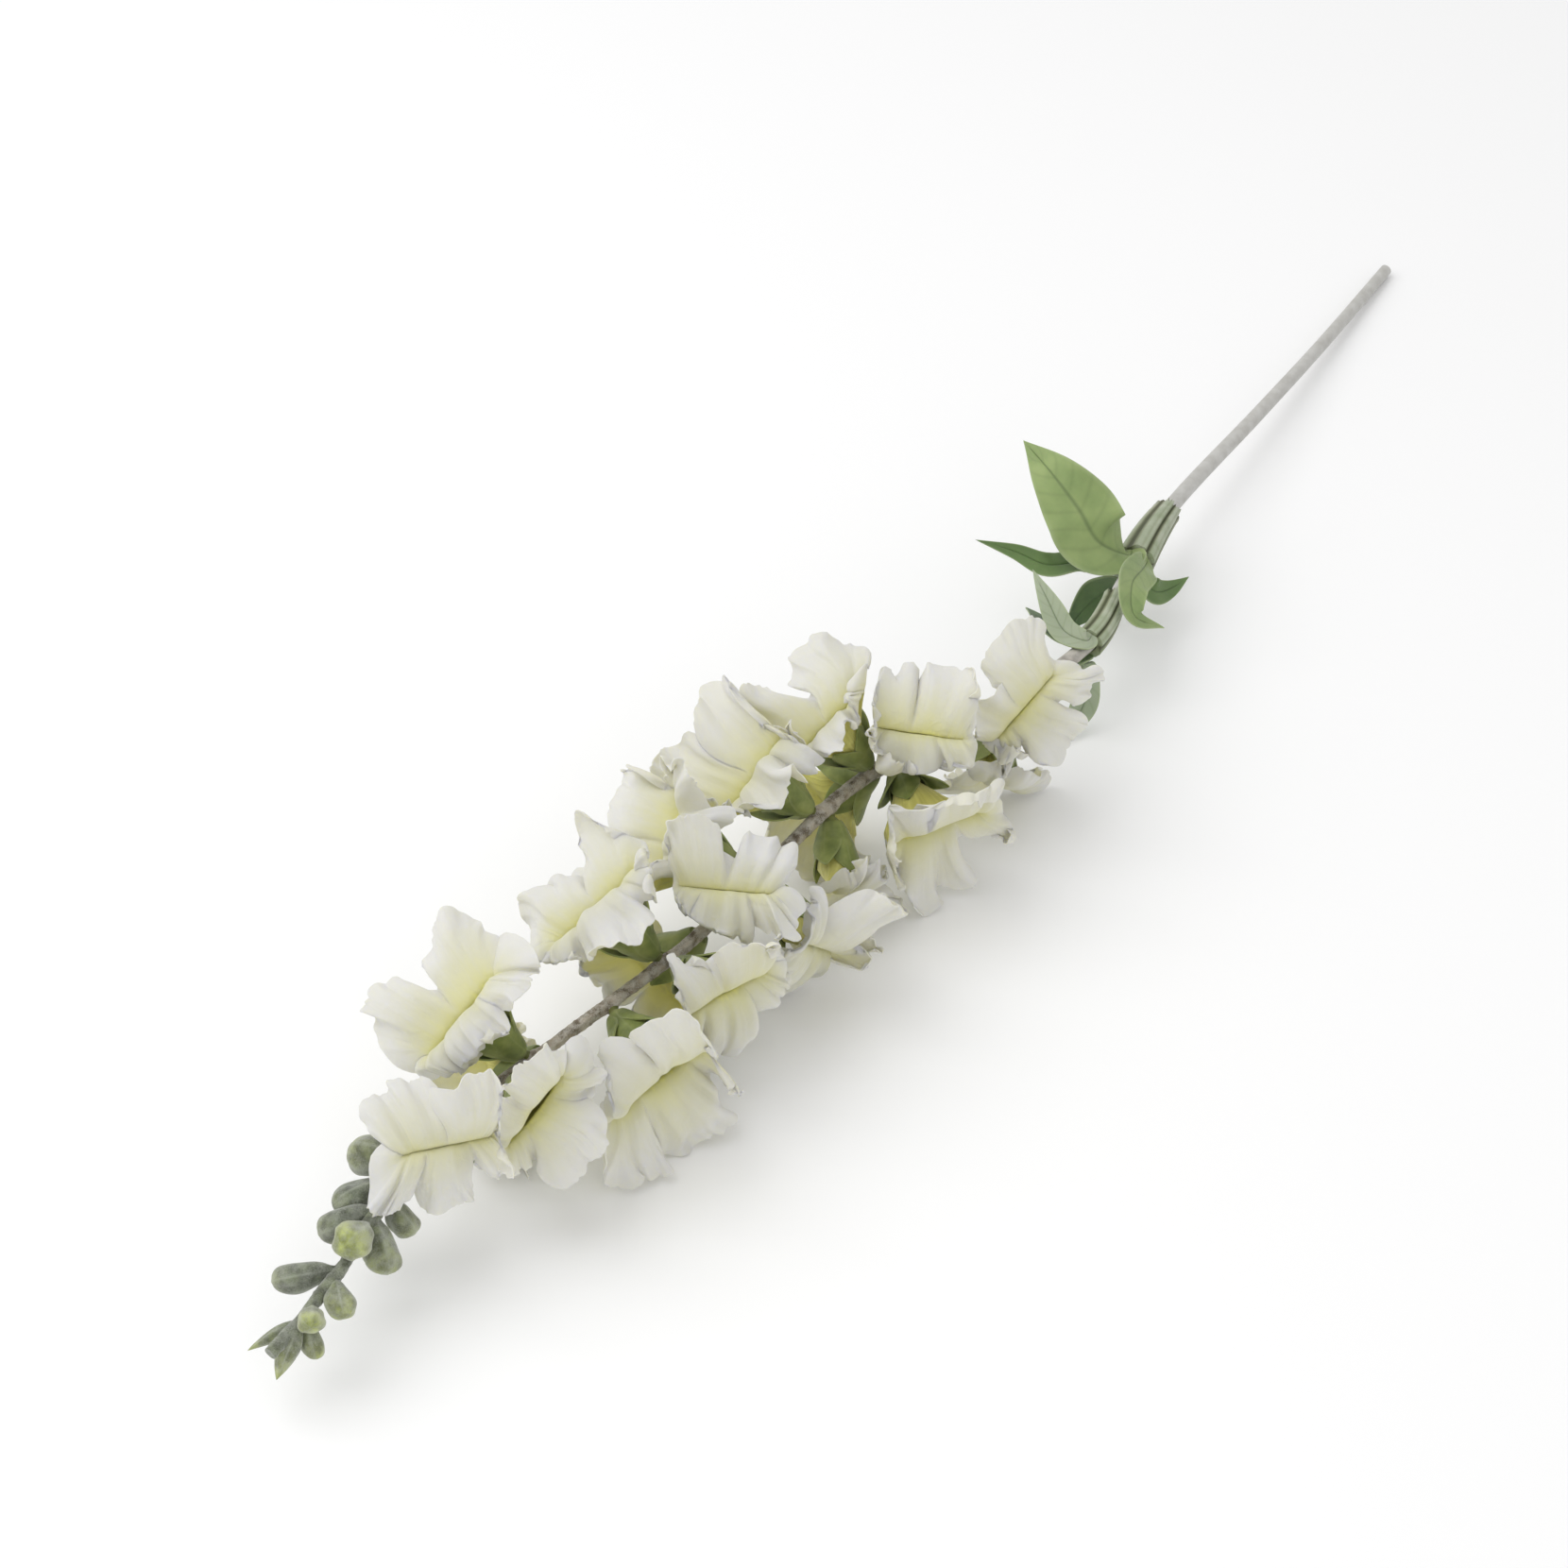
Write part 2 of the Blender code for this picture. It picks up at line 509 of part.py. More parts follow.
def bud_points(number, sides):
    """One bud: a short stalk that swells to a round head, or a pointed leaf-like one."""
    stem_at, round_stem, lean, length, width, pointed = BUDS[number]
    foot, axis, upper_side = branch(stem_at, round_stem, lean)
    outline = BUD_OUTLINES[pointed]
    turn = np.arange(sides) / sides * 2 * math.pi
    rings = []
    for along, swell in outline:
        radius = width / 2 * swell
        heights = np.full(sides, along * length)
        rings.append(np.stack([radius * np.cos(turn), radius * np.sin(turn), heights], 1))
    grid = placed(np.array(rings), foot, axis, upper_side)
    points = np.vstack([grid.reshape(-1, 3), foot, foot + axis * length])
    faces = strips(0, len(outline), sides)
    last = (len(outline) - 1) * sides
    for column in range(sides):
        after = (column + 1) % sides
        faces.append((after, column, len(points) - 2))
        faces.append((last + column, last + after, len(points) - 1))
    return points, faces


def make_bud_tip(finish):
    """The green tip of the spike: its stalk with the buds grown into it."""
    marks = np.linspace(STEM_LENGTH + SEAT, STEM_MARKS[-1] - 2, 12)
    stalk = add_object("bud_tip", *tube(marks, stem_radius, 8), finish)
    buds = bpy.data.collections.new("buds")
    for number in range(len(BUDS)):
        bud = add_object(f"bud_{number + 1:02d}", *bud_points(number, BUD_SIDES), finish)
        bpy.context.scene.collection.objects.unlink(bud)
        buds.objects.link(bud)
    bpy.context.scene.collection.children.link(buds)
    union = stalk.modifiers.new("buds", "BOOLEAN")
    union.operation = "UNION"
    union.operand_type = "COLLECTION"
    union.collection = buds
    union.solver = "EXACT"
    graph = bpy.context.evaluated_depsgraph_get()
    joined = bpy.data.meshes.new_from_object(stalk.evaluated_get(graph))
    stalk.modifiers.clear()
    stalk.data = joined
    for bud in list(buds.objects):
        bpy.data.objects.remove(bud)
    bpy.data.collections.remove(buds)


def main():
    for old in list(bpy.data.objects):
        bpy.data.objects.remove(old)
    petal = material("petal", (0.86, 0.85, 0.74), 0.7)
    calyx = material("calyx", (0.20, 0.27, 0.07), 0.65)
    stem = material("stem", (0.42, 0.41, 0.37), 0.8)
    leaf = material("leaf", (0.16, 0.27, 0.08), 0.6)
    sheath = material("sheath", (0.36, 0.40, 0.28), 0.7)
    bud = material("bud", (0.36, 0.42, 0.27), 0.85)
    make_stem(stem)
    make_bud_tip(bud)
    for number in range(len(SHEATHS)):
        make_sheath(number, sheath)
    for number in range(len(LEAVES)):
        blade = leaf_grid(number, LEAF_ROWS, LEAF_COLUMNS)
        add_object(f"leaf_{number + 1:02d}", *sheet_solid(blade, SHEET), leaf)
    for number in range(len(BLOOMS)):
        make_bloom(number, petal, calyx)


main()
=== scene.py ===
"""An artificial snapdragon stem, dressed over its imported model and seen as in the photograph.

Lengths are in millimetres and become metres where a mesh, a light or the camera is made.
"""

import math

import bpy
import numpy as np
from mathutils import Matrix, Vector


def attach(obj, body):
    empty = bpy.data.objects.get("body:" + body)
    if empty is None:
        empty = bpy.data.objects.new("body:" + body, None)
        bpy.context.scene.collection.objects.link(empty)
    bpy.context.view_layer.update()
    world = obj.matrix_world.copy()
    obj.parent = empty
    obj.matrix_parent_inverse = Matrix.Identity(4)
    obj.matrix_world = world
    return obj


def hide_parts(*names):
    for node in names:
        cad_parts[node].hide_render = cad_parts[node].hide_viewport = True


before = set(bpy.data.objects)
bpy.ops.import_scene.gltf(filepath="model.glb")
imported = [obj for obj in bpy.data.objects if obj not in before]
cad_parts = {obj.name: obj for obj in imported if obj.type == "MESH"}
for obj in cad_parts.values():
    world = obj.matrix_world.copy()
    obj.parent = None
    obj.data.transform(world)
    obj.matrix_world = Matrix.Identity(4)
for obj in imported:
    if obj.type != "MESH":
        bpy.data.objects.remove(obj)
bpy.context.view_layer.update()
MM = 0.001

# The stem.
# One long cane of grey plastic over a wire, moulded in one piece and bent by hand. It is bare and smooth
# at its cut end, and rough with whitish dust where the blooms sit, each on a small swelling.

# Points along the middle of the stem, from its cut end to its tip
STEM_ROUTE = [
    (351, 8, 2.2), (288, 3, 6), (225, -2, 12), (147, -8, 20), (96, -19, 26), (54, -28, 30), (1, -20, 33),
    (-51, -6, 36), (-95, -4, 37), (-149, -3, 37), (-204, 6, 36), (-237, 13, 34), (-265, 16, 32),
    (-289, 12, 30), (-307, 9, 28), (-326, 8, 26), (-344, 8, 24),
]
CENTRED = np.array([-3.5, 0.9, 0.0])
# Radii, and distances from the cut end
CUT_RADIUS, LEAF_RADIUS, BUD_RADIUS, TWIG_RADIUS = 2.2, 2.8, 1.7, 1.3
LEAVES_AT, STEM_LENGTH = 205, 616
STEM_SIDES, SMOOTH_STEP, ROUGH_STEP = 30, 2.0, 0.8
ROUGH_FROM, ROUGH_BLEND, ROUGHNESS, FLUTES = 320, 60, 0.13, 0.16
SWELLING, SWELLING_LENGTH, SWELLING_WIDTH, MEAN_RADIUS = 0.9, 3.2, 1.9, 2.4
SLOPE_REACH = 5
UP = np.array([0.0, 0.0, 1.0])

# Each bloom: distance from the cut end, angle round the stem, lean, turn, size, how far its upper and its
# lower lip stand open, how much more each of them curls, and half the gap between them
BLOOMS = [
    (342, -54, 54, -64, 1.06, 66, 92, 30, 40, 0.15), (350, -150, 62, 60, 0.94, 66, 84, 50, 50, 0.15),
    (387, -30, 60, -132, 1.22, 84, 82, 30, 30, 0.15), (396, -100, 68, -72, 1.34, 84, 72, 36, 26, 0.15),
    (405, 20, 60, -112, 1.14, 46, 70, 20, 50, 0.6), (434, 38, 60, -126, 1.18, 52, 92, 16, 56, 0.15),
    (428, -146, 62, 60, 1.06, 66, 72, 40, 50, 1.0), (468, -116, 76, 48, 1.24, 80, 76, 40, 50, 0.3),
    (470, 58, 62, -116, 1.26, 44, 70, 10, 60, 0.6), (486, -22, 60, -146, 1.02, 84, 84, 40, 50, 0.15),
    (518, 34, 68, -126, 1.26, 62, 84, 20, 50, 0.15), (515, -80, 78, -90, 1.14, 74, 84, 40, 40, 0.3),
    (542, -100, 76, -62, 1.38, 80, 66, 50, 16, 1.2), (574, 34, 60, -120, 1.14, 48, 104, -6, 66, 1.0),
    (582, -72, 68, -56, 0.98, 60, 80, 10, 40, 1.1), (612, -48, 62, -114, 0.96, 74, 84, 30, 50, 0.15),
    (566, 150, 66, 20, 1.12, 54, 56, 40, 40, 1.0), (496, 150, 66, 0, 1.12, 60, 56, 40, 40, 1.0),
    (400, 140, 68, -20, 1.14, 52, 54, 40, 40, 1.0),
]


def smooth_line(points, steps):
    """A smooth line through the points, with that many steps between two of them."""
    points = np.array(points, float)
    ends = np.vstack([2 * points[0] - points[1], points, 2 * points[-1] - points[-2]])
    line = []
    for a, b, c, d in zip(ends, ends[1:], ends[2:], ends[3:]):
        for t in np.arange(steps) / steps:
            line.append(0.5 * (2 * b + (c - a) * t + (2 * a - 5 * b + 4 * c - d) * t**2
                               + (3 * b - a - 3 * c + d) * t**3))
    return np.array(line + [points[-1]])


def unit(vector):
    return vector / np.maximum(np.linalg.norm(vector, axis=-1, keepdims=True), 1e-9)


def marks_along(line):
    """How far along a line each of its points is."""
    return np.concatenate([[0], np.cumsum(np.linalg.norm(np.diff(line, axis=0), axis=1))])


def read_at(where, marks, line):
    """The point of a line at that mark, or its points at each of those marks."""
    return np.stack([np.interp(where, marks, axis) for axis in line.T], -1)


STEM_LINE = smooth_line(STEM_ROUTE, 12) + CENTRED
STEM_MARKS = marks_along(STEM_LINE)


def on_stem(distance):
    """The stem's middle at a distance from the cut end, with its forward, upward and sideways directions."""
    before, middle, beyond = [read_at(distance + step, STEM_MARKS, STEM_LINE)
                              for step in (-SLOPE_REACH, 0, SLOPE_REACH)]
    forward = unit(beyond - before)
    upward = unit(UP - forward * forward[2])
    return middle, forward, upward, np.cross(forward, upward)


def stem_radius(distance):
    return np.interp(distance, [0, LEAVES_AT, STEM_LENGTH, STEM_MARKS[-1]],
                     [CUT_RADIUS, LEAF_RADIUS, BUD_RADIUS, TWIG_RADIUS])


def branch(distance, round_stem, lean, turn=0.0, cup_clear=None):
    """The axis of what grows from the stem there: its foot, its direction and its upper side."""
    foot, forward, upward, sideways = on_stem(distance)
    angle, tilt, turn = math.radians(round_stem), math.radians(lean), math.radians(turn)
    away = upward * math.cos(angle) + sideways * math.sin(angle)
    axis = away * math.sin(tilt) + forward * math.cos(tilt)
    upper_side = unit(forward - axis * (forward @ axis))
    right = np.cross(upper_side, axis)
    if cup_clear:
        near_side = CUP_AT * math.sin(tilt) - CUP_RADIUS * math.cos(tilt)
        foot = foot + away * max(cup_clear - near_side, 0)
    return foot, axis, upper_side * math.cos(turn) - right * math.sin(turn)


def strips(rows, columns, closed=True):
    """Four-sided faces over a grid of points."""
    faces = []
    for row in range(rows - 1):
        for column in range(columns if closed else columns - 1):
            a = row * columns + column
            b = row * columns + (column + 1) % columns
            faces.append((a, b, b + columns, a + columns))
    return faces


def capped(rows, columns):
    """The faces of a tube of rings that is closed at both its ends."""
    last = (rows - 1) * columns
    return strips(rows, columns) + [tuple(range(columns))[::-1], tuple(range(last, last + columns))]


def all_round(columns):
    """Directions in radians, spread evenly round a circle."""
    return np.arange(columns) / columns * 2 * math.pi


def ring_round(distance, turn, width, shift=0.0):
    """Points round the stem at a distance from its cut end, each moved along it by its own shift."""
    middle, forward, upward, sideways = on_stem(distance)
    return (middle + np.outer(shift, forward) + np.outer(np.cos(turn) * width, upward)
            + np.outer(np.sin(turn) * width, sideways))


def grid_normals(grid, closed):
    """Unit normals of a grid of points, row by column."""
    across = np.roll(grid, -1, 1) - np.roll(grid, 1, 1) if closed else np.gradient(grid, axis=1)
    return unit(np.cross(across, np.gradient(grid, axis=0)))


def add_piece(name, points, faces, material, replaced, marks, sharp=50):
    """One named piece from points in millimetres, with a value for each point under each mark's name."""
    mesh = bpy.data.meshes.new(name)
    mesh.from_pydata((np.asarray(points) * MM).tolist(), [], [tuple(face) for face in faces])
    for mark, values in marks.items():
        values = np.asarray(values, float)
        if values.ndim == 1:
            mesh.attributes.new(mark, "FLOAT", "POINT").data.foreach_set("value", values)
        else:
            mesh.attributes.new(mark, "FLOAT_VECTOR", "POINT").data.foreach_set("vector", values.ravel())
    mesh.materials.append(material)
    mesh.shade_smooth()
    mesh.set_sharp_from_angle(angle=math.radians(sharp))
    piece = bpy.data.objects.new(name, mesh)
    bpy.context.scene.collection.objects.link(piece)
    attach(piece, "root")
    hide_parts(replaced)


def ripple(share, waves, chance):
    """An uneven wave round a closed rim, between about -1 and 1, with that many crests."""
    value = np.zeros_like(share)
    for count in (waves, waves * 2 // 3, waves * 3 // 2 + 1):
        height, start = chance.uniform(0.4, 1.0), chance.uniform(0, 6.3)
        value = value + height * np.sin(2 * math.pi * count * share + start)
    return value / 1.4


def new_material(name, roughness, sheen=0.0, passes=0.0, tint=None):
    """A material, its node tree and its shader. A share of the light passes into the surface, with a tint."""
    material = bpy.data.materials.new(name)
    material.use_nodes = True
    tree = material.node_tree
    shader = tree.nodes["Principled BSDF"]
    shader.inputs["Roughness"].default_value = roughness
    shader.inputs["Sheen Weight"].default_value = sheen
    shader.inputs["Sheen Roughness"].default_value = 0.6
    if tint:
        shader.inputs["Subsurface Weight"].default_value = passes
        shader.inputs["Subsurface Radius"].default_value = tint
        shader.inputs["Subsurface Scale"].default_value = 0.002
    return material, tree, shader


def add_node(tree, kind, values=None, **settings):
    """A node with the given settings. Each value is a number or colour, or the socket that feeds it."""
    node = tree.nodes.new(kind)
    for key, setting in settings.items():
        setattr(node, key, setting)
    for key, value in (values or {}).items():
        if isinstance(value, bpy.types.NodeSocket):
            tree.links.new(value, node.inputs[key])
        else:
            node.inputs[key].default_value = value
    return node


def colours(tree, factor, *stops):
    """A colour ramp over a factor, from pairs of a place and a colour."""
    ramp = add_node(tree, "ShaderNodeValToRGB", {"Fac": factor})
    edge = ramp.color_ramp.elements
    while len(edge) < len(stops):
        edge.new(0.5)
    for element, (place, colour) in zip(edge, stops):
        element.position = place
        element.color = (*colour, 1)
    return ramp.outputs["Color"]


def mixed(tree, factor, below, above, blend="MIX"):
    """One colour laid over another by a factor."""
    node = add_node(tree, "ShaderNodeMix", data_type="RGBA", blend_type=blend)
    for place, value in ((0, factor), (6, below), (7, above)):
        if isinstance(value, bpy.types.NodeSocket):
            tree.links.new(value, node.inputs[place])
        else:
            node.inputs[place].default_value = (*value, 1) if place else value
    return node.outputs[2]


def maths(tree, operation, first, second=0.0, third=0.0):
    values = {0: first, 1: second, 2: third}
    return add_node(tree, "ShaderNodeMath", values, operation=operation).outputs[0]


def times(tree, first, second):
    return maths(tree, "MULTIPLY", first, second)


def stretched(tree, value, low, high, to_low=0.0, to_high=1.0):
    """A value taken from one range to another, and held at the new range's ends."""
    values = {"Value": value, "From Min": low, "From Max": high, "To Min": to_low, "To Max": to_high}
    return add_node(tree, "ShaderNodeMapRange", values).outputs["Result"]


def noise(tree, scale, detail, over=None, distortion=0.0):
    """A noise between 0 and 1, over the object's own space or over what is given."""
    if over is None:
        over = add_node(tree, "ShaderNodeTexCoord").outputs["Object"]
    values = {"Vector": over, "Scale": scale, "Detail": detail, "Distortion": distortion}
    return add_node(tree, "ShaderNodeTexNoise", values).outputs["Fac"]


def mark_of(tree, name, output="Fac"):
    """The value that a piece's points carry under that name."""
    return add_node(tree, "ShaderNodeAttribute", attribute_name=name).outputs[output]


def edge_of(tree, across, low):
    """A value that rises from 0 to 1 toward both sides of a blade."""
    return stretched(tree, maths(tree, "ABSOLUTE", across), low, 1.0)


def dress(tree, shader, colour, height, strength, distance):
    """Gives the shader its colour and a bump, whose distance is in metres."""
    tree.links.new(colour, shader.inputs["Base Color"])
    bump = add_node(tree, "ShaderNodeBump", {"Height": height, "Strength": strength, "Distance": distance})
    tree.links.new(bump.outputs["Normal"], shader.inputs["Normal"])


def start_group(name, inputs, outputs):
    """An empty node group with number inputs and with outputs given as name and kind."""
    group = bpy.data.node_groups.new(name, "ShaderNodeTree")
    for label, value in inputs:
        socket = group.interface.new_socket(name=label, in_out="INPUT", socket_type="NodeSocketFloat")
        socket.default_value = value
    for label, kind in outputs:
        group.interface.new_socket(name=label, in_out="OUTPUT", socket_type=kind)
    return group, group.nodes.new("NodeGroupInput").outputs, group.nodes.new("NodeGroupOutput").inputs


def use_group(tree, group, **values):
    """The outputs of a group, after its inputs are set by their names, with low lines for spaces."""
    values = {label.replace("_", " "): value for label, value in values.items()}
    return add_node(tree, "ShaderNodeGroup", values, node_tree=group).outputs


# Dust and flock: a patchy pale coat, thick in some places and rubbed off in others
dust, given, put_out = start_group(
    "dusty_coat", [("Patch size", 300.0), ("Grain size", 1800.0), ("Cover", 0.5)],
    [("Mask", "NodeSocketFloat"), ("Height", "NodeSocketFloat")])
grains = noise(dust, given["Grain size"], 4.0)
both = maths(dust, "ADD", times(dust, noise(dust, given["Patch size"], 3.0), 0.55), times(dust, grains, 0.45))
over = maths(dust, "SUBTRACT", maths(dust, "ADD", both, given["Cover"]), 0.95)
dust.links.new(stretched(dust, over, -0.03, 0.16), put_out["Mask"])
dust.links.new(grains, put_out["Height"])

stem_plastic, tree, shader = new_material("grey_stem_plastic", 0.72)
streaks = noise(tree, 240.0, 5.0)
bare = colours(tree, streaks, (0.3, (0.47, 0.46, 0.43)), (0.7, (0.58, 0.575, 0.55)))
rachis = colours(tree, streaks, (0.40, (0.14, 0.11, 0.075)), (0.59, (0.44, 0.385, 0.31)))
flowering = stretched(tree, mark_of(tree, "along"), 0.45, 0.56)
coat = use_group(tree, dust, Patch_size=420.0, Grain_size=2600.0, Cover=0.49)
dusty = times(tree, times(tree, coat["Mask"], flowering), 0.75)
dress(tree, shader, mixed(tree, dusty, mixed(tree, flowering, bare, rachis), (0.62, 0.60, 0.55)),
      coat["Height"], 0.35, 0.0004)

chance = np.random.default_rng(11)
marks = np.concatenate([np.arange(0, ROUGH_FROM, SMOOTH_STEP),
                        np.arange(ROUGH_FROM, STEM_LENGTH + 0.5, ROUGH_STEP)])
turn = all_round(STEM_SIDES)
rings, along = [], []
roughness = chance.normal(0, 1, (len(marks), STEM_SIDES))
roughness = (roughness + np.roll(roughness, 1, 0) + np.roll(roughness, 1, 1)) / 3
for row, mark in enumerate(marks):
    width = stem_radius(mark) * (1 + 0.02 * np.sin(3 * turn + mark / 31))
    rough = np.clip((mark - ROUGH_FROM) / ROUGH_BLEND, 0, 1)
    width = width + rough * (ROUGHNESS * roughness[row] + FLUTES * np.sin(5 * turn + mark / 9))
    for stem_at, round_stem, *_ in BLOOMS:
        off_round = np.radians((np.degrees(turn) - round_stem + 180) % 360 - 180)
        off_round = off_round * MEAN_RADIUS / SWELLING_WIDTH
        off_along = (mark - stem_at) / SWELLING_LENGTH
        width = width + SWELLING * np.exp(-off_along**2 - off_round**2)
    rings.append(ring_round(mark, turn, width))
    along.append(np.full(STEM_SIDES, mark / STEM_LENGTH))
points = np.array(rings).reshape(-1, 3)
points[:, 2] = np.maximum(points[:, 2], 0)
add_piece("stem_cane", points, capped(len(marks), STEM_SIDES), stem_plastic, "stem",
          {"along": np.concatenate(along)})

# The buds at the tip.
# A thin green twig that carries closed buds of flocked green plastic, moulded with it. The larger ones
# are two swollen halves over a small green foot, and the last two are still folded to a point.

# Each bud: distance from the cut end, angle round the stem, lean, length, width, and whether it is pointed
BUDS = [
    (625, 92, 68, 19.4, 12.4, False), (634, 87, 36, 19.7, 9.8, False), (645, 95, 42, 19.0, 10.2, False),
    (652, -12, 24, 17.0, 11.4, False), (648, -143, 45, 17.6, 11.0, False), (640, -150, 80, 15.0, 8.6, False),
    (669, 93, 54, 20.2, 8.9, False), (672, -110, 39, 13.7, 8.6, False), (684, -66, 38, 11.0, 7.8, False),
    (687, -146, 58, 13.3, 7.0, False), (690, -170, 24, 17.6, 7.4, True), (690, 112, 36, 16.7, 3.8, True),
]
# Shares of the length and of the width, for round buds and for pointed ones
BUD_OUTLINES = {
    False: [(0.0, 0.24), (0.12, 0.32), (0.24, 0.58), (0.45, 0.88), (0.7, 1.0), (0.86, 0.86), (0.96, 0.5),
            (1.0, 0.0)],
    True: [(0.0, 0.3), (0.22, 0.8), (0.48, 1.0), (0.78, 0.56), (0.93, 0.2), (1.0, 0.0)],
}
# How yellow each bud is, from grey green to yellow green
BUD_TONES = [0.4, 0.0, 0.05, 0.9, 0.5, 0.5, 0.1, 0.8, 0.9, 0.75, 0.7, 0.5]
BUD_RINGS, BUD_COLUMNS = 34, 40
LUMP, SMALL_LUMP, VEIN, BOW, SIDE_BOW = 0.07, 0.05, 0.05, 0.06, 0.05
PUCKER, POINTED_PUCKER = 0.14, 0.2
TWIG_SIDES, TWIG_SWELL, TWIG_LUMP, TWIG_UNEVEN = 16, 1.3, 0.22, 0.06
TWIG_ALONG, TWIG_TONE = 0.35, 0.3

flocked_green, tree, shader = new_material("flocked_green_bud", 0.92, sheen=0.5)
along = mark_of(tree, "along")
grey = colours(tree, along, (0.0, (0.05, 0.06, 0.03)), (0.3, (0.085, 0.10, 0.06)),
               (0.7, (0.115, 0.135, 0.085)), (1.0, (0.17, 0.19, 0.09)))
yellowed = colours(tree, along, (0.0, (0.07, 0.09, 0.03)), (0.45, (0.22, 0.25, 0.10)),
                   (0.8, (0.36, 0.39, 0.15)), (1.0, (0.38, 0.44, 0.07)))
patchy = stretched(tree, noise(tree, 260.0, 3.0), 0.4, 0.62, 0.55, 1.25)
shade = mixed(tree, 1.0, mixed(tree, mark_of(tree, "tone"), grey, yellowed), patchy, "MULTIPLY")
coat = use_group(tree, dust, Patch_size=330.0, Grain_size=2400.0, Cover=0.5)
frosted = mixed(tree, times(tree, coat["Mask"], 0.42), shade, (0.40, 0.42, 0.36))
veined = mixed(tree, times(tree, mark_of(tree, "ridge"), 0.4), frosted, (0.52, 0.55, 0.46))
dress(tree, shader, veined, coat["Height"], 0.6, 0.0005)


def placed(grid, foot, axis, upper_side):
    """Points of a form's own frame, moved to its foot and turned to its axis."""
    right = np.cross(upper_side, axis)
    return foot + grid[..., :1] * right + grid[..., 1:2] * upper_side + grid[..., 2:] * axis


def bud_form(length, width, pointed, chance):
    """One bud's rings in its own frame, foot first, with how far along and how near a ridge each point is."""
    outline = np.array(BUD_OUTLINES[pointed])
    along = np.linspace(0, 1, BUD_RINGS) ** 0.85
    line = smooth_line(np.column_stack([outline, np.zeros(len(outline))]), 8)
    swell = np.maximum(np.interp(along, line[:, 0], line[:, 1]), 0)
    turn = all_round(BUD_COLUMNS)
    start = chance.uniform(0, 6.3)
    halves = np.abs(np.sin(turn + start)) ** 0.5
    veins = np.maximum(np.cos(5 * (turn + start) + 0.6 * np.sin(2 * turn)), 0) ** 6
    puckered = 1 - PUCKER + PUCKER * halves
    if pointed:
        puckered = 1 - POINTED_PUCKER + POINTED_PUCKER * np.abs(np.cos(2.5 * turn))
    grid, ridge = [], []
    for share, fat in zip(along, swell):
        lumps = (1 + LUMP * np.sin(3 * turn + 7 * share + start)
                 + SMALL_LUMP * np.sin(5 * turn - 8 * share + 2 * start) + VEIN * veins)
        radius = width / 2 * fat * (1 + (puckered - 1) * min(share * 1.6, 1)) * lumps
        bow = length * share**2
        grid.append(np.stack([radius * np.cos(turn) + BOW * bow, radius * np.sin(turn) - SIDE_BOW * bow,
                              np.full(BUD_COLUMNS, share * length)], 1))
        ridge.append(veins * min(share * 2, 1) * (0.4 + 0.6 * math.sin(math.pi * min(share, 0.95))))
    return np.array(grid), np.repeat(along, BUD_COLUMNS), np.array(ridge).ravel()


def joined(forms):
    """Several forms as one. Each has its points, its faces and its points' marks."""
    points, faces, marks, count = [], [], {}, 0
    for form_points, form_faces, form_marks in forms:
        points.append(form_points)
        faces += [tuple(corner + count for corner in face) for face in form_faces]
        for mark, values in form_marks.items():
            marks.setdefault(mark, []).append(values)
        count += len(form_points)
    return np.vstack(points), faces, {mark: np.concatenate(values) for mark, values in marks.items()}


marks = np.arange(STEM_LENGTH + 0.35, STEM_MARKS[-1] - 1.5, 1.0)
turn = all_round(TWIG_SIDES)
rings = []
for mark in marks:
    uneven = TWIG_LUMP * np.sin(2 * turn + mark / 4) + TWIG_UNEVEN * chance.normal(0, 1, TWIG_SIDES)
    rings.append(ring_round(mark, turn, stem_radius(mark) * (TWIG_SWELL + uneven)))
twig = np.vstack(rings)
blank = np.zeros(len(twig))
forms = [(twig, capped(len(marks), TWIG_SIDES),
          {"along": blank + TWIG_ALONG, "ridge": blank, "tone": blank + TWIG_TONE})]
for (stem_at, round_stem, lean, length, width, pointed), yellow in zip(BUDS, BUD_TONES):
    grid, share, veins = bud_form(length, width, pointed, chance)
    grid = placed(grid, *branch(stem_at, round_stem, lean))
    foot = tuple(range(BUD_COLUMNS))[::-1]
    forms.append((grid.reshape(-1, 3), strips(BUD_RINGS, BUD_COLUMNS) + [foot],
                  {"along": share, "ridge": veins, "tone": np.full(len(share), yellow)}))
points, faces, marks = joined(forms)
add_piece("bud_spray", points, faces, flocked_green, "bud_tip", marks, sharp=80)

# The leaf sheaths.
# Two tufts of leaf bases, moulded as one pleated sleeve each and slid up the cane, with painted shade in
# the grooves between pale grey-green ribs and inside. The lower end is torn into a ragged collar.

# Each sleeve: its lower and upper end along the stem, and its radius at both
SHEATHS = [(204, 244, 4.0, 7.0), (268, 300, 3.5, 5.4)]
SHEATH_SWELL, SHEATH_PLEATS, SHEATH_PLEAT, FINE_PLEAT, SEAT = 0.45, 5, 0.16, 0.035, 0.35
COLLAR_FLARE, TORN_DEPTH, TORN_SHARE, TEARS = 0.9, 2.6, 0.2, 9
SLEEVE_COLUMNS, SLEEVE_ROWS = 120, 46
# How deep the painted shade on the sleeve's inner side is, on the scale of a groove's painted shade
INNER_SHADE = 0.6

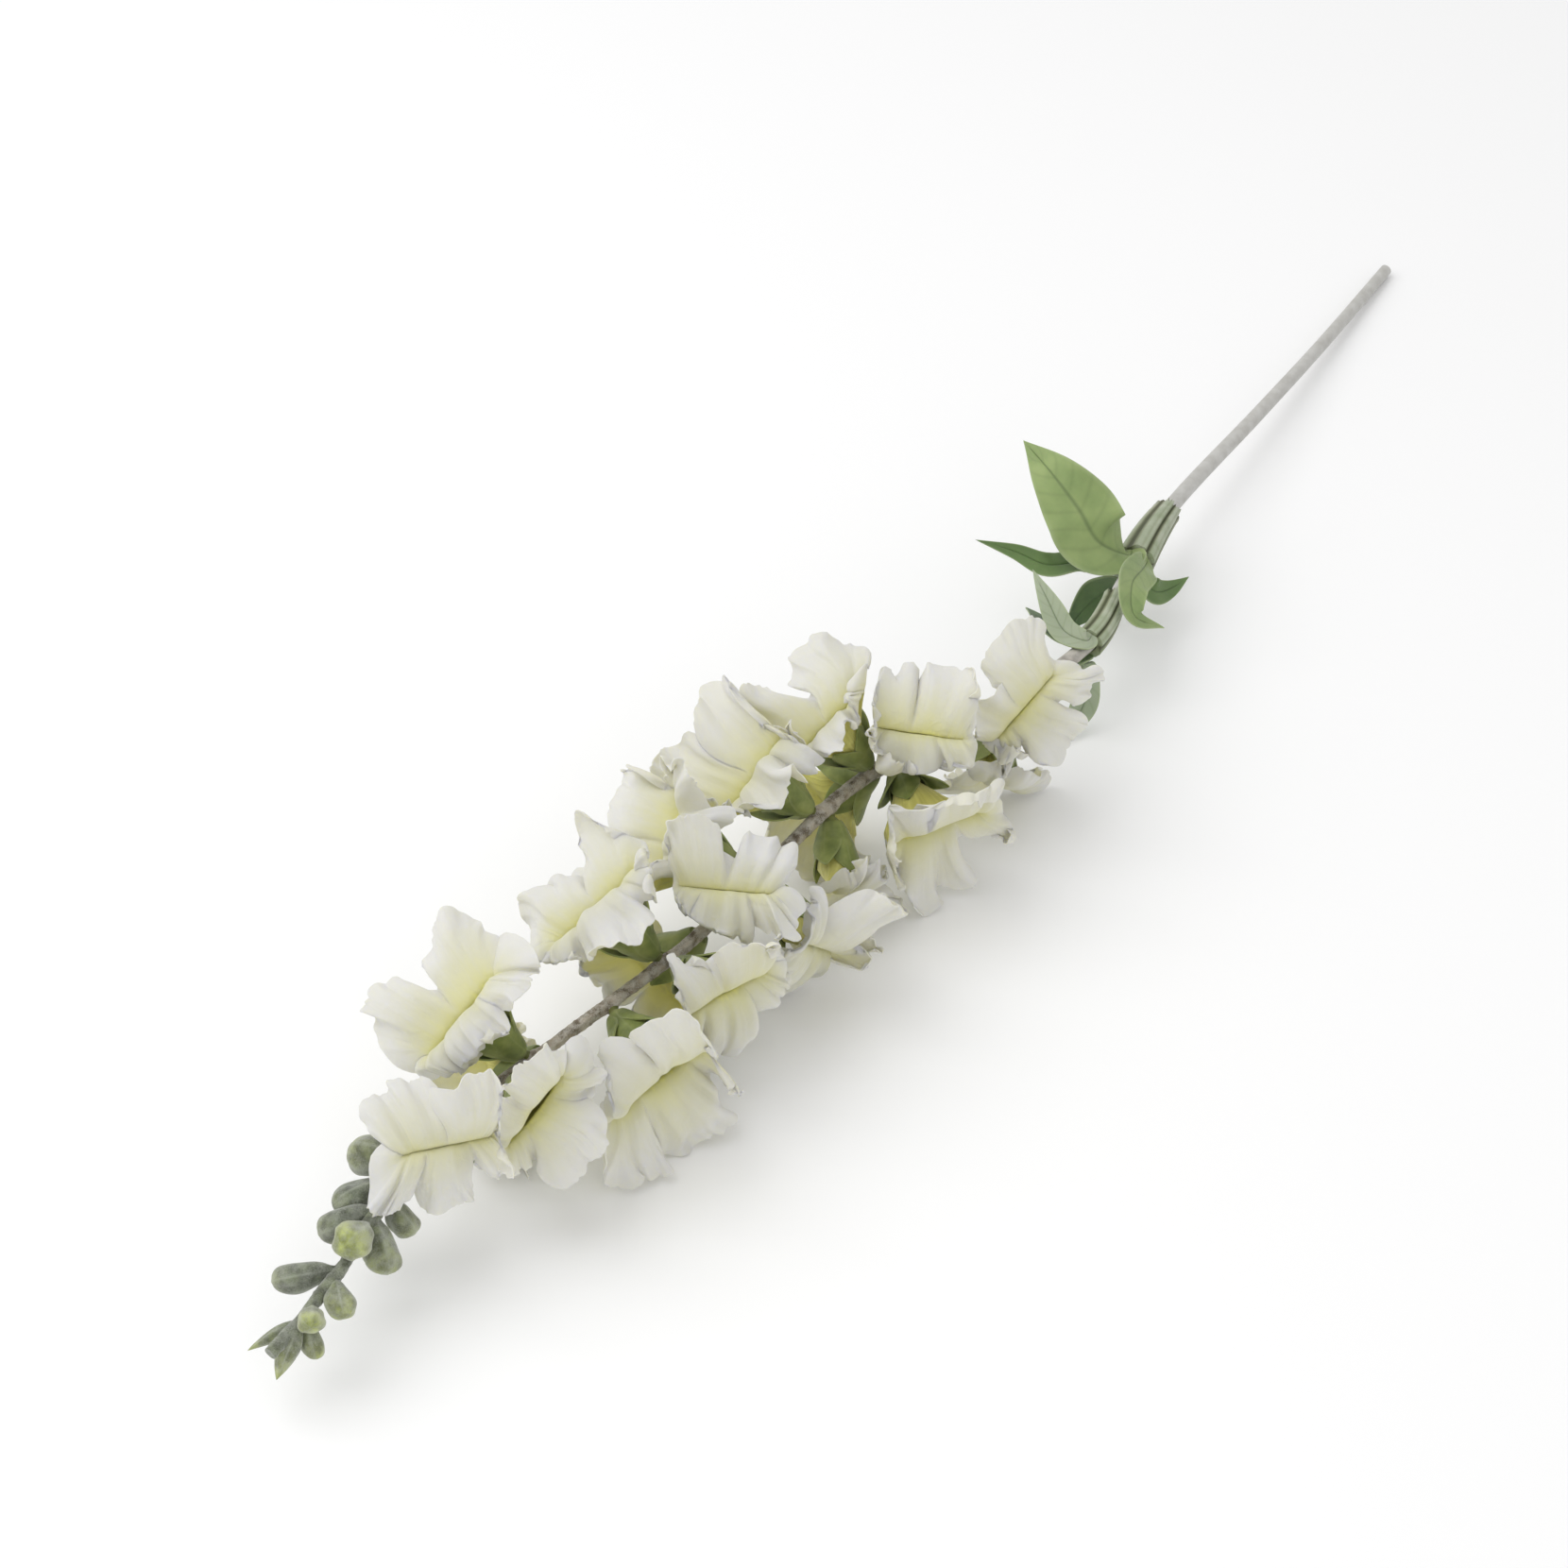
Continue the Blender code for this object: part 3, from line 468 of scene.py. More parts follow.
sleeve_plastic, tree, shader = new_material("pleated_sleeve_plastic", 0.68)
pale = colours(tree, noise(tree, 150.0, 4.0), (0.3, (0.34, 0.39, 0.27)), (0.55, (0.47, 0.50, 0.40)),
               (0.75, (0.56, 0.57, 0.49)))
toward_leaves = mixed(tree, times(tree, mark_of(tree, "along"), 0.45), pale, (0.27, 0.35, 0.17))
# Painted shade: darker toward the bottom of each pleat's groove and on the sleeve's inner side
shade = colours(tree, mark_of(tree, "groove_shade"), (0.0, (1, 1, 1)), (0.45, (0.72, 0.70, 0.62)),
                (1.0, (0.20, 0.20, 0.13)))
coat = use_group(tree, dust, Patch_size=300.0, Grain_size=2000.0, Cover=0.4)
dress(tree, shader, mixed(tree, 1.0, toward_leaves, shade, "MULTIPLY"), coat["Height"], 0.25, 0.0003)

turn = all_round(SLEEVE_COLUMNS)
share = np.linspace(0, 1, SLEEVE_ROWS)
pleat = (0.5 - 0.5 * np.cos(SHEATH_PLEATS * (turn + 0.25 * np.sin(2 * turn + 1.3)))) ** 5
fine = (0.5 - 0.5 * np.cos(3 * SHEATH_PLEATS * turn + 0.8)) ** 3
for number, (first, last, narrow, wide) in enumerate(SHEATHS):
    chance = np.random.default_rng(40 + number)
    torn = TORN_DEPTH * np.abs(ripple(np.arange(SLEEVE_COLUMNS) / SLEEVE_COLUMNS, TEARS, chance)) + 0.5
    rings, groove_shade, along = [], [], []
    for part, outside in [(part, True) for part in share] + [(part, False) for part in share[::-1]]:
        reach = first + (last - first) * part
        if outside:
            swell = narrow + (wide - narrow) * part**SHEATH_SWELL + COLLAR_FLARE * math.exp(-part * 14)
            width = swell * (1 - SHEATH_PLEAT * pleat - FINE_PLEAT * fine)
        else:
            width = np.full(SLEEVE_COLUMNS, stem_radius(reach) + SEAT)
        rings.append(ring_round(reach, turn, width, torn * max(1 - part / TORN_SHARE, 0)))
        groove_shade.append(np.clip(pleat * 1.1 + 0.25 * fine, 0, 1) if outside else np.full(len(turn), INNER_SHADE))
        along.append(np.full(SLEEVE_COLUMNS, part))
    corners = len(rings) * SLEEVE_COLUMNS
    faces = np.array(strips(len(rings) + 1, SLEEVE_COLUMNS)) % corners
    add_piece(f"pleated_sleeve_{number + 1:02d}", np.vstack(rings), faces.tolist(), sleeve_plastic,
              f"leaf_sheath_{number + 1:02d}",
              {"groove_shade": np.concatenate(groove_shade), "along": np.concatenate(along)})

# The leaves.
# Stamped cloth leaves with a pressed midrib and faint side veins, dyed green above and left paler below.
# Each is heat-formed to its own bend, and its neck is glued into the rim of a sleeve.

# Each leaf: its sleeve, its angle round the stem, points along the rest of its midrib, its width, and
# which way its blade faces at the tip
LEAVES = [
    (0, 18, [(98, -7, 37), (98, 1, 47), (100, 13, 56), (107, 29, 60)], 26, (-0.8, -0.4, 0.5)),
    (0, 66, [(95, -2, 28), (84, 5, 31), (81, 16, 34), (76, 29, 37)], 9.5, (-0.6, -0.3, 0.6)),
    (0, -58, [(97, -25, 33), (84, -28, 36), (74, -35, 32), (83, -42, 24)], 13, (-0.2, -0.5, 1)),
    (0, -118, [(105, -26, 19), (112, -28, 16), (121, -31, 17)], 9, (-0.5, -0.5, 1)),
    (0, 150, [(96, -8, 14), (89, -5, 9), (85, -4, 4)], 15, (-1, -0.3, 0.2)),
    (1, 56, [(54, -16, 31), (62, -6, 26), (72, 6, 20)], 8, (0, -0.4, 1)),
    (1, -16, [(50, -21, 36), (56, -11, 41), (63, -1, 45)], 9, (-0.8, -0.5, 0.4)),
    (1, -172, [(50, -30, 19), (49, -31, 11), (44, -30, 5), (33, -28, 2)], 11, (-0.3, -0.6, 1)),
]
# How light each leaf's dye is from 0 to 1, and whether it shows its pale underside
LEAF_TONES = [(0.85, False), (0.45, False), (0.82, False), (0.5, False), (0.1, False), (0.1, False),
              (0.6, True), (0.5, True)]
LEAF_BASE, LEAF_TIP, LEAF_FOLD, LEAF_CLOTH = 1.6, 0.6, 0.14, 0.5
NECK, MIDRIB_DEPTH, MIDRIB_WIDTH, EDGE_WAVE, EDGE_WAVES = 5, 0.35, 0.07, 0.10, 2.3
LEAF_ROWS, LEAF_COLUMNS = 60, 21

leaf_veins, given, put_out = start_group(
    "leaf_veins", [("Along", 0.5), ("Across", 0.0), ("Side veins", 9.0)],
    [("Midrib", "NodeSocketFloat"), ("Side", "NodeSocketFloat")])
off = maths(leaf_veins, "ABSOLUTE", given["Across"])
leaf_veins.links.new(stretched(leaf_veins, off, 0.0, 0.09, 1.0, 0.0), put_out["Midrib"])
run = maths(leaf_veins, "SUBTRACT", given["Along"], times(leaf_veins, off, 0.12))
wave = maths(leaf_veins, "SINE", times(leaf_veins, times(leaf_veins, run, given["Side veins"]), 2 * math.pi))
crests = maths(leaf_veins, "POWER", maths(leaf_veins, "MULTIPLY_ADD", wave, 0.5, 0.5), 8.0)
leaf_veins.links.new(crests, put_out["Side"])

# Cloth: fine threads that cross, as a height for a bump
weave, given, put_out = start_group("woven_cloth", [("Threads", 2600.0)], [("Height", "NodeSocketFloat")])
place = add_node(weave, "ShaderNodeTexCoord").outputs["Object"]
bands = {"Vector": place, "Scale": given["Threads"], "Distortion": 1.2}
threads = [add_node(weave, "ShaderNodeTexWave", bands, bands_direction=direction).outputs["Fac"]
           for direction in ("X", "Y")]
weave.links.new(maths(weave, "MAXIMUM", *threads), put_out["Height"])

dyed_leaf, tree, shader = new_material("dyed_leaf_cloth", 0.62, sheen=0.1, passes=0.12, tint=(0.5, 0.9, 0.2))
along, across = mark_of(tree, "along"), mark_of(tree, "across")
blotches = maths(tree, "SUBTRACT", noise(tree, 90.0, 5.0), 0.5)
toned = maths(tree, "ADD", mark_of(tree, "tone"), times(tree, blotches, 0.7))
green = colours(tree, toned, (0.0, (0.045, 0.085, 0.03)), (0.5, (0.125, 0.205, 0.06)),
                (1.0, (0.32, 0.40, 0.155)))
pale = colours(tree, toned, (0.0, (0.24, 0.29, 0.19)), (1.0, (0.42, 0.47, 0.33)))
both_sides = mixed(tree, mark_of(tree, "under"), green, pale)
veins = use_group(tree, leaf_veins, Along=along, Across=across, Side_veins=9.0)
ribbed = mixed(tree, times(tree, veins["Midrib"], 0.55), both_sides, (0.07, 0.11, 0.04))
lined = mixed(tree, times(tree, veins["Side"], 0.16), ribbed, (0.10, 0.15, 0.05))
edged = mixed(tree, times(tree, edge_of(tree, across, 0.86), 0.4), lined, (0.42, 0.48, 0.27))
dress(tree, shader, edged, use_group(tree, weave, Threads=2200.0)["Height"], 0.25, 0.0002)


def sheet(grid, thickness):
    """A closed sheet of even thickness from a grid of points on its middle surface, and its faces."""
    rows, columns, _ = grid.shape
    offset = grid_normals(grid, False) * thickness / 2
    points = np.vstack([(grid + offset).reshape(-1, 3), (grid - offset).reshape(-1, 3)])
    below = rows * columns
    top = strips(rows, columns, closed=False)
    faces = top + [tuple(below + corner for corner in face[::-1]) for face in top]
    edge = [*range(columns), *range(2 * columns - 1, below, columns),
            *range(below - 2, below - columns - 1, -1), *range(below - 2 * columns, 0, -columns)]
    faces += [(b, a, below + a, below + b) for a, b in zip(edge, edge[1:] + edge[:1])]
    points[:, 2] = np.maximum(points[:, 2], 0)
    return points, faces


def leaf_blade(number):
    """The middle surface of a pointed leaf, folded along its midrib, with where its points are on it."""
    sheath, round_stem, points, width, face_to = LEAVES[number]
    _, last, _, wide = SHEATHS[sheath]
    middle, forward, upward, sideways = on_stem(last + SEAT + 0.1)
    angle = math.radians(round_stem)
    away = upward * math.cos(angle) + sideways * math.sin(angle)
    reach = (wide * (1 - SHEATH_PLEAT / 2) + stem_radius(last)) / 2 + 0.3
    midrib = [middle + away * reach, middle + away * (reach + 0.7) + forward * NECK]
    midrib += [np.array(point, float) + CENTRED for point in points]
    line = smooth_line(midrib, 12)
    marks = marks_along(line)
    share = np.linspace(0, 1, LEAF_ROWS) ** 1.1
    spine = read_at(share * marks[-1], marks, line)
    slopes = read_at(share * marks[-1], marks, np.gradient(line, axis=0))
    turned = share**0.5
    face = np.outer(1 - turned, away) + np.outer(turned, unit(np.array(face_to, float)))
    across = unit(np.cross(slopes, face))
    face = unit(np.cross(across, slopes))
    swell = np.maximum(np.sin(math.pi * share**0.72), 0) ** 1.05
    least = np.where(share < 0.4, LEAF_BASE, LEAF_TIP * (1 - share))
    half = least + (width / 2 - least) * swell
    spread = np.linspace(-1, 1, LEAF_COLUMNS)
    starts = np.random.default_rng(70 + number).uniform(0, 1, 2)
    edge_wave = np.array([np.sin(2 * math.pi * (EDGE_WAVES * share + start)) for start in starts]).T
    side = (spread > 0).astype(int)
    lift = half[:, None] * (LEAF_FOLD * np.abs(spread) ** 1.2 + EDGE_WAVE * edge_wave[:, side] * spread**2)
    crease = MIDRIB_DEPTH * np.exp(-(spread / MIDRIB_WIDTH) ** 2)
    lift = lift - crease * np.minimum(half, 3)[:, None] / 3
    blade = spine[:, None] + across[:, None] * (half[:, None] * spread)[..., None]
    blade = blade + face[:, None] * lift[..., None]
    return blade, np.repeat(share, LEAF_COLUMNS), np.tile(spread, LEAF_ROWS)


for number in range(len(LEAVES)):
    grid, along, across = leaf_blade(number)
    points, faces = sheet(grid, LEAF_CLOTH)
    tone, pale_side_out = LEAF_TONES[number]
    top_normal = grid_normals(grid, False)[LEAF_ROWS // 2, LEAF_COLUMNS // 2]
    top_is_front = top_normal @ np.array(LEAVES[number][4], float) > 0
    top_is_pale = top_is_front == pale_side_out
    under = np.repeat([float(top_is_pale), float(not top_is_pale)], len(along))
    add_piece(f"cloth_leaf_{number + 1:02d}", points, faces, dyed_leaf, f"leaf_{number + 1:02d}",
              {"along": np.tile(along, 2), "across": np.tile(across, 2),
               "tone": np.full(2 * len(along), tone), "under": under})

# The calyxes.
# Each bloom's green cup: a short stalk that clips over a swelling of the cane, and five blunt leaf-like
# sepals of soft moulded plastic that overlap round the foot of the bloom.

# Heights are measured along a bloom's axis from the middle of the stem
CUP_AT, CUP_RADIUS, CUP_CLEAR, CUP_COLUMNS = 6.6, 3.6, 3.7, 36
MOUTH_AT, SHEET, CLEARANCE = 24.0, 0.8, 1.3
SEPALS, SEPAL_LENGTH, SEPAL_WIDTH, SEPAL_THICKNESS = 5, 18.5, 11.6, 0.55
SEPAL_SUNK, BELOW_MOUTH, OFF_TUBE = 1.6, 1.5, 0.6
SIDE_SEPALS, SIDE_SEPAL_LENGTH, SIDE_SEPAL_SPREAD = (1, 4), 0.8, 5.5
SEPAL_ROWS, SEPAL_COLUMNS = 22, 13
TUBE_FROM, TUBE_MIDDLE = 7.35, 15.0
MOUTH_HALF_WIDTH, MOUTH_CORNER = 13.5, 0.16
# The corolla's tube: half its width, half its height, and how far along the axis
TUBE_OUTLINE = [(1.8, 1.8, TUBE_FROM), (3.6, 3.4, 11.2), (5.2, 4.8, TUBE_MIDDLE), (8.0, 4.9, 19.5),
                (MOUTH_HALF_WIDTH, 0.0, MOUTH_AT)]
TUBE_LINE = smooth_line(TUBE_OUTLINE, 10)
# A bloom's own space: the steps in which it is measured, and the share of it from which cloth gives way
REACH_STEPS = np.linspace(0.5, 46, 60)
GIVE, BENT_OUT, NEIGHBOUR_WITHIN, BEYOND_MOUTH, SURFACE_GIVE = 0.72, 0.75, 90, 8, 0.15

BLOOM_AXES = []
for bloom in BLOOMS:
    foot, axis, _ = branch(*bloom[:4], CUP_CLEAR)
    BLOOM_AXES.append((foot + axis * CUP_AT, foot + axis * (MOUTH_AT + BEYOND_MOUTH) * bloom[4]))


def nearest_on(segment, points):
    """The place on a segment that is nearest to each point."""
    start, end = segment
    along = end - start
    share = np.clip(((points - start) @ along) / (along @ along), 0, 1)
    return start + share[..., None] * along


def allowed_reach(own, feet, rays):
    """How far each ray may run from its bloom's axis before it leaves that bloom's own space."""
    # The room above the surface, twice over, as the room to a neighbour also shrinks by two for each step
    room = (feet[:, 2:] + rays[:, 2:] * REACH_STEPS - SHEET / 2 + SURFACE_GIVE) * 2
    for other, (start, end) in enumerate(BLOOM_AXES):
        if other != own and np.linalg.norm(end - BLOOM_AXES[own][1]) < NEIGHBOUR_WITHIN:
            along = end - start
            span = along @ along
            off = feet - start
            slide = (off @ along)[:, None] + (rays @ along)[:, None] * REACH_STEPS
            square = ((off * off).sum(1)[:, None] + 2 * (off * rays).sum(1)[:, None] * REACH_STEPS
                      + REACH_STEPS**2)
            share = np.clip(slide / span, 0, 1)
            distance = np.sqrt(np.maximum(square - 2 * share * slide + share**2 * span, 0))
            room = np.minimum(room, distance - REACH_STEPS - CLEARANCE)
    blocked = room < 0
    first = np.where(blocked.any(1), blocked.argmax(1), len(REACH_STEPS) - 1)
    before = np.maximum(first - 1, 0)
    rows = np.arange(len(feet))
    near, far = room[rows, before], room[rows, first]
    share = np.where(blocked.any(1) & (near > far), near / np.maximum(near - far, 1e-9), 1.0)
    reach = REACH_STEPS[before] + np.clip(share, 0, 1) * (REACH_STEPS[first] - REACH_STEPS[before])
    return np.maximum(reach, 1.0)


def kept_in(own, points, bends=(BENT_OUT, 0)):
    """The points of a bloom, kept clear of its neighbours and of the surface that it lies on."""
    shape = points.shape
    points = points.reshape(-1, 3)
    outward = unit(BLOOM_AXES[own][1] - BLOOM_AXES[own][0])
    # A bend is the share of what is lost sideways that runs on outward. A bend of 0 only cuts off.
    for bend in bends:
        feet = nearest_on(BLOOM_AXES[own], points)
        rays = points - feet
        width = np.maximum(np.linalg.norm(rays, axis=1), 1e-6)
        rays = rays / width[:, None]
        reach = allowed_reach(own, feet, rays)
        share = width / reach
        eased = GIVE + (1 - GIVE) * np.tanh((share - GIVE) / (1 - GIVE))
        kept = np.where(share < GIVE, width, reach * eased) if bend else np.minimum(width, reach)
        points = feet + rays * kept[:, None] + outward * ((width - kept) * bend)[:, None]
    return points.reshape(shape)


soft_green, tree, shader = new_material("soft_olive_calyx", 0.55, sheen=0.1, passes=0.15,
                                        tint=(0.6, 0.9, 0.2))
along, across = mark_of(tree, "along"), mark_of(tree, "across")
olive = colours(tree, noise(tree, 160.0, 4.0), (0.3, (0.12, 0.155, 0.035)), (0.5, (0.20, 0.245, 0.065)),
                (0.72, (0.32, 0.355, 0.12)))
# Painted shade: darker on the stalk and cup, tucked under the sepals against the stem, and lighter than the
# plastic's own colour toward the sepals' tips
foot_shade = colours(tree, along, (0.0, (0.62, 0.55, 0.42)), (0.25, (0.9, 0.9, 0.8)), (1.0, (1.12, 1.1, 1.0)))
veins = use_group(tree, leaf_veins, Along=along, Across=across, Side_veins=4.0)
lined = mixed(tree, times(tree, veins["Midrib"], 0.3), mixed(tree, 1.0, olive, foot_shade, "MULTIPLY"),
              (0.30, 0.34, 0.14))
edged = mixed(tree, times(tree, edge_of(tree, across, 0.82), 0.35), lined, (0.38, 0.42, 0.20))
coat = use_group(tree, dust, Patch_size=300.0, Grain_size=1500.0, Cover=0.4)
dress(tree, shader, edged, coat["Height"], 0.2, 0.0003)


def tube_reach(heights, angles, size):
    """How far the tube of a corolla stands from its axis at those heights and in those directions."""
    level = TUBE_FROM + (heights - TUBE_FROM) / size
    stretch = 1 + (size - 1) * np.clip((level - TUBE_FROM) / (TUBE_MIDDLE - TUBE_FROM), 0, 1)
    half_width, half_height = [
        np.maximum(np.interp(level, TUBE_LINE[:, 2], TUBE_LINE[:, side], left=0) * stretch, 0.3)
        for side in (0, 1)]
    return half_width * half_height / np.hypot(half_height * np.cos(angles), half_width * np.sin(angles))


def sepal_grid(sepal, size, chance):
    """The middle surface of one sepal in its bloom's frame: cupped, oval, with a short point."""
    at_side = sepal in SIDE_SEPALS
    share = np.linspace(0, 1, SEPAL_ROWS)
    spread = np.linspace(-1, 1, SEPAL_COLUMNS)
    length = SEPAL_LENGTH * chance.uniform(0.9, 1.08) * (SIDE_SEPAL_LENGTH if at_side else 1)
    length = min(length, TUBE_FROM + (MOUTH_AT - TUBE_FROM) * size - BELOW_MOUTH - CUP_AT + SEPAL_SUNK)
    half = SEPAL_WIDTH / 2 * chance.uniform(0.9, 1.1) * (0.42 + 0.62 * np.sin(math.pi * share**0.8) ** 0.9)
    half = half * np.maximum(1 - np.clip((share - 0.5) / 0.5, 0, 1) ** 2.4, 0) ** 0.62 + 0.12
    open_out = chance.uniform(0.75, 1.35)
    from_axis = 3.0 + 3.1 * np.minimum(share * 2.2, 1) ** 0.8
    from_axis += 4.4 * open_out * np.maximum(share - 0.35, 0) ** 1.5
    from_axis += 0.35 * (sepal % 2) + SIDE_SEPAL_SPREAD * at_side * np.maximum(share - 0.4, 0)
    share, from_axis, half = share[:, None], from_axis[:, None], half[:, None]
    middle = math.pi / 2 + sepal * 2 * math.pi / SEPALS + chance.uniform(-0.12, 0.12)
    angle = middle + half * spread / np.maximum(from_axis, 3.4) + chance.uniform(-0.25, 0.25) * share**2
    cup = from_axis - 0.10 * half * spread**2 * (1 - share)
    cup = cup + 0.28 * np.sin(2.2 * math.pi * share + 3 * spread + sepal) * spread**2
    heights = CUP_AT - SEPAL_SUNK + length * share + 0 * spread
    cup = np.maximum(cup, tube_reach(heights, angle, size) + OFF_TUBE)
    grid = np.stack([cup * np.cos(angle), cup * np.sin(angle), heights], 2)
    return grid, np.repeat(0.25 + 0.75 * share, SEPAL_COLUMNS), np.tile(spread, SEPAL_ROWS)


for number, bloom in enumerate(BLOOMS):
    stem_at, size = bloom[0], bloom[4]
    pose = branch(*bloom[:4], CUP_CLEAR)
    chance = np.random.default_rng(100 + number)
    foot_height = stem_radius(stem_at) + 0.6
    # Radius and height of the stalk, the cup and the cup's floor
    cup = [(1.9, foot_height), (1.5, foot_height + 0.8), (1.45, CUP_AT - 3.6), (1.9, CUP_AT - 2.8),
           (3.1, CUP_AT - 1.5), (3.7, CUP_AT - 0.2), (3.4, CUP_AT + 0.5), (2.6, CUP_AT + 0.45),
           (0.0, CUP_AT + 0.1)]
    line = smooth_line([(width, height, 0) for width, height in cup], 4)
    turn = all_round(CUP_COLUMNS)
    rings = np.array([np.stack([max(width, 0.02) * np.cos(turn), max(width, 0.02) * np.sin(turn),
                                np.full(CUP_COLUMNS, height)], 1) for width, height, _ in line])
    rings[..., :2] *= 1 + 0.05 * np.cos(SEPALS * turn)[None, :, None]
    forms = [(placed(rings, *pose).reshape(-1, 3), capped(len(rings), CUP_COLUMNS),
              {"along": np.repeat(np.linspace(0, 0.3, len(rings)), CUP_COLUMNS),
               "across": np.full(len(rings) * CUP_COLUMNS, 0.5)})]
    for sepal in range(SEPALS):
        grid, share, spread = sepal_grid(sepal, size, chance)
        blade, faces = sheet(kept_in(number, placed(grid, *pose)), SEPAL_THICKNESS)
        forms.append((blade, faces, {"along": np.tile(share, 2), "across": np.tile(spread, 2)}))
    points, faces, marks = joined(forms)
    add_piece(f"green_calyx_{number + 1:02d}", points, faces, soft_green,
              f"calyx_{number + 1:02d}", marks)

# The corollas.
# Each is one piece of cream silk cloth, cut with five lobes, heat-formed into a tube and two ruffled lips
# that meet in a soft crease, and glued by its foot into the calyx. The tube is tinted yellow green.
CLOTH, RIM_COLUMNS, TUBE_RINGS, LIP_RINGS, LIP_STEPS = 0.36, 264, 7, 26, 52
# Each lobe: its direction from the mouth's middle, how wide it is, and how long
LOBES = [(54, 52, 24.5), (126, 52, 24.5), (213, 41, 22.0), (270, 43, 23.5), (327, 41, 22.0)]
# Each cleft between two lobes of a lip: its direction and the share of the cloth that it cuts away
CLEFTS, CLEFT_WIDTH = [(90, 0.34), (241.5, 0.36), (298.5, 0.36)], 3.6
LOBE_LENGTHS, CORNER_LENGTH = (0.88, 1.08), 4.5
# How the lips leave the mouth: degrees, and shares of the rim and of a lip's length
UPPER_FAN, LOWER_FAN, UPPER_SHARE, ROUNDING = 34, 44, 9 / 22, 0.13
SIDE_WRAP, LOBE_DOME, LOBE_OPEN, LOBE_CURL = 26, 36, 16, 36
# How many folds, large ruffles and crumples there are, and how high each kind stands
FOLDS, FOLD, FOLD_WIDTHS, FOLD_BLEND = 17, 1.3, (0.012, 0.03), 0.35
RUFFLES, RUFFLE, CRUMPLES, CRUMPLE, CRUMPLE_LENGTHS = 7, 2.9, 5, 2.8, (18, 34)
# Creases: the ranges of how far each drifts, of its width and height, and of where on the lip it starts
CREASE_RANGES = [(-0.035, 0.035), (0.006, 0.016), (0.25, 0.85), (0.1, 0.6)]
CREASES, CREASE_BLEND = 44, 0.35
# Small ruffles and the tiny ones at the rim: how many and how high
SMALL_RUFFLES, TINY_RUFFLES = (15, 1.5), (37, 0.55)
TEETH, TOOTH, FRAY = 46, 0.95, 0.6
TUBE_DEPTH, LIP_DEPTH_CURVE = 0.24, 0.62

silk, tree, shader = new_material("cream_silk_cloth", 0.66, sheen=0.25, passes=0.55, tint=(1.0, 0.94, 0.45))
depth = mark_of(tree, "depth")
clouds = maths(tree, "SUBTRACT", noise(tree, 55.0, 2.0), 0.5)
streaks = noise(tree, 9.0, 3.0, over=mark_of(tree, "fan", "Vector"))
along_fan = maths(tree, "SUBTRACT", streaks, 0.5)
wander = maths(tree, "ADD", times(tree, clouds, 0.35), times(tree, along_fan, 0.22))
# Partly painted light: the bright yellow at 0.24, the crease where the lips meet, is the throat's own
# yellow-green tint made lighter to fill the crease's shade
cloth_colour = colours(
    tree, maths(tree, "ADD", depth, wander),
    (0.0, (0.40, 0.38, 0.09)), (0.12, (0.60, 0.57, 0.17)), (0.24, (0.90, 0.865, 0.32)),
    (0.34, (0.695, 0.672, 0.35)), (0.60, (0.68, 0.664, 0.50)), (0.90, (0.755, 0.742, 0.68)))
# Painted shade: the cloth's back is tinted warmer yellow, most near the throat, as shaded cloth looks with
# light passing through it
back = times(tree, mark_of(tree, "back"), stretched(tree, depth, 0.35, 0.9, 0.9, 0.25))
shaded_back_yellow = mixed(tree, 1.0, cloth_colour, (1.08, 1.04, 0.76), "MULTIPLY")
threads = use_group(tree, weave, Threads=2600.0)["Height"]
height = maths(tree, "ADD", times(tree, threads, 0.25), times(tree, streaks, 2.2))
height = maths(tree, "MULTIPLY_ADD", noise(tree, 210.0, 3.0, distortion=1.2), 2.6, height)
dress(tree, shader, mixed(tree, back, cloth_colour, shaded_back_yellow), height, 0.45, 0.0006)


def rim_angles(columns):
    """Directions round the mouth in radians, closer together on the lower lip, which has more lobes."""
    share = np.arange(columns) / columns
    upper = share / UPPER_SHARE * 180
    lower = 180 + (share - UPPER_SHARE) / (1 - UPPER_SHARE) * 180
    return np.radians(np.where(share < UPPER_SHARE, upper, lower)), share


def cut_lobes(angles, chance):
    """The cloth's length in each direction, the share of the way to its lobe's side, and its lobe's bend."""
    length = np.full(len(angles), CORNER_LENGTH)
    to_side = np.ones(len(angles))
    bend, weight = np.zeros(len(angles)), np.full(len(angles), 0.001)
    for centre, spread, reach in LOBES:
        off = np.abs(np.degrees(angles) - centre)
        off = np.minimum(np.minimum(off, 360 - off) / spread, 1)
        length = np.maximum(length, reach * chance.uniform(*LOBE_LENGTHS) * (1 - off**2.6) ** 0.55)
        to_side = np.minimum(to_side, off)
        bend += (1 - off) ** 2 * chance.uniform(-1, 1)
        weight += (1 - off) ** 2
    for cleft, depth in CLEFTS:
        length = length * (1 - depth * np.exp(-((np.degrees(angles) - cleft) / CLEFT_WIDTH) ** 2))
    return length, to_side, bend / weight


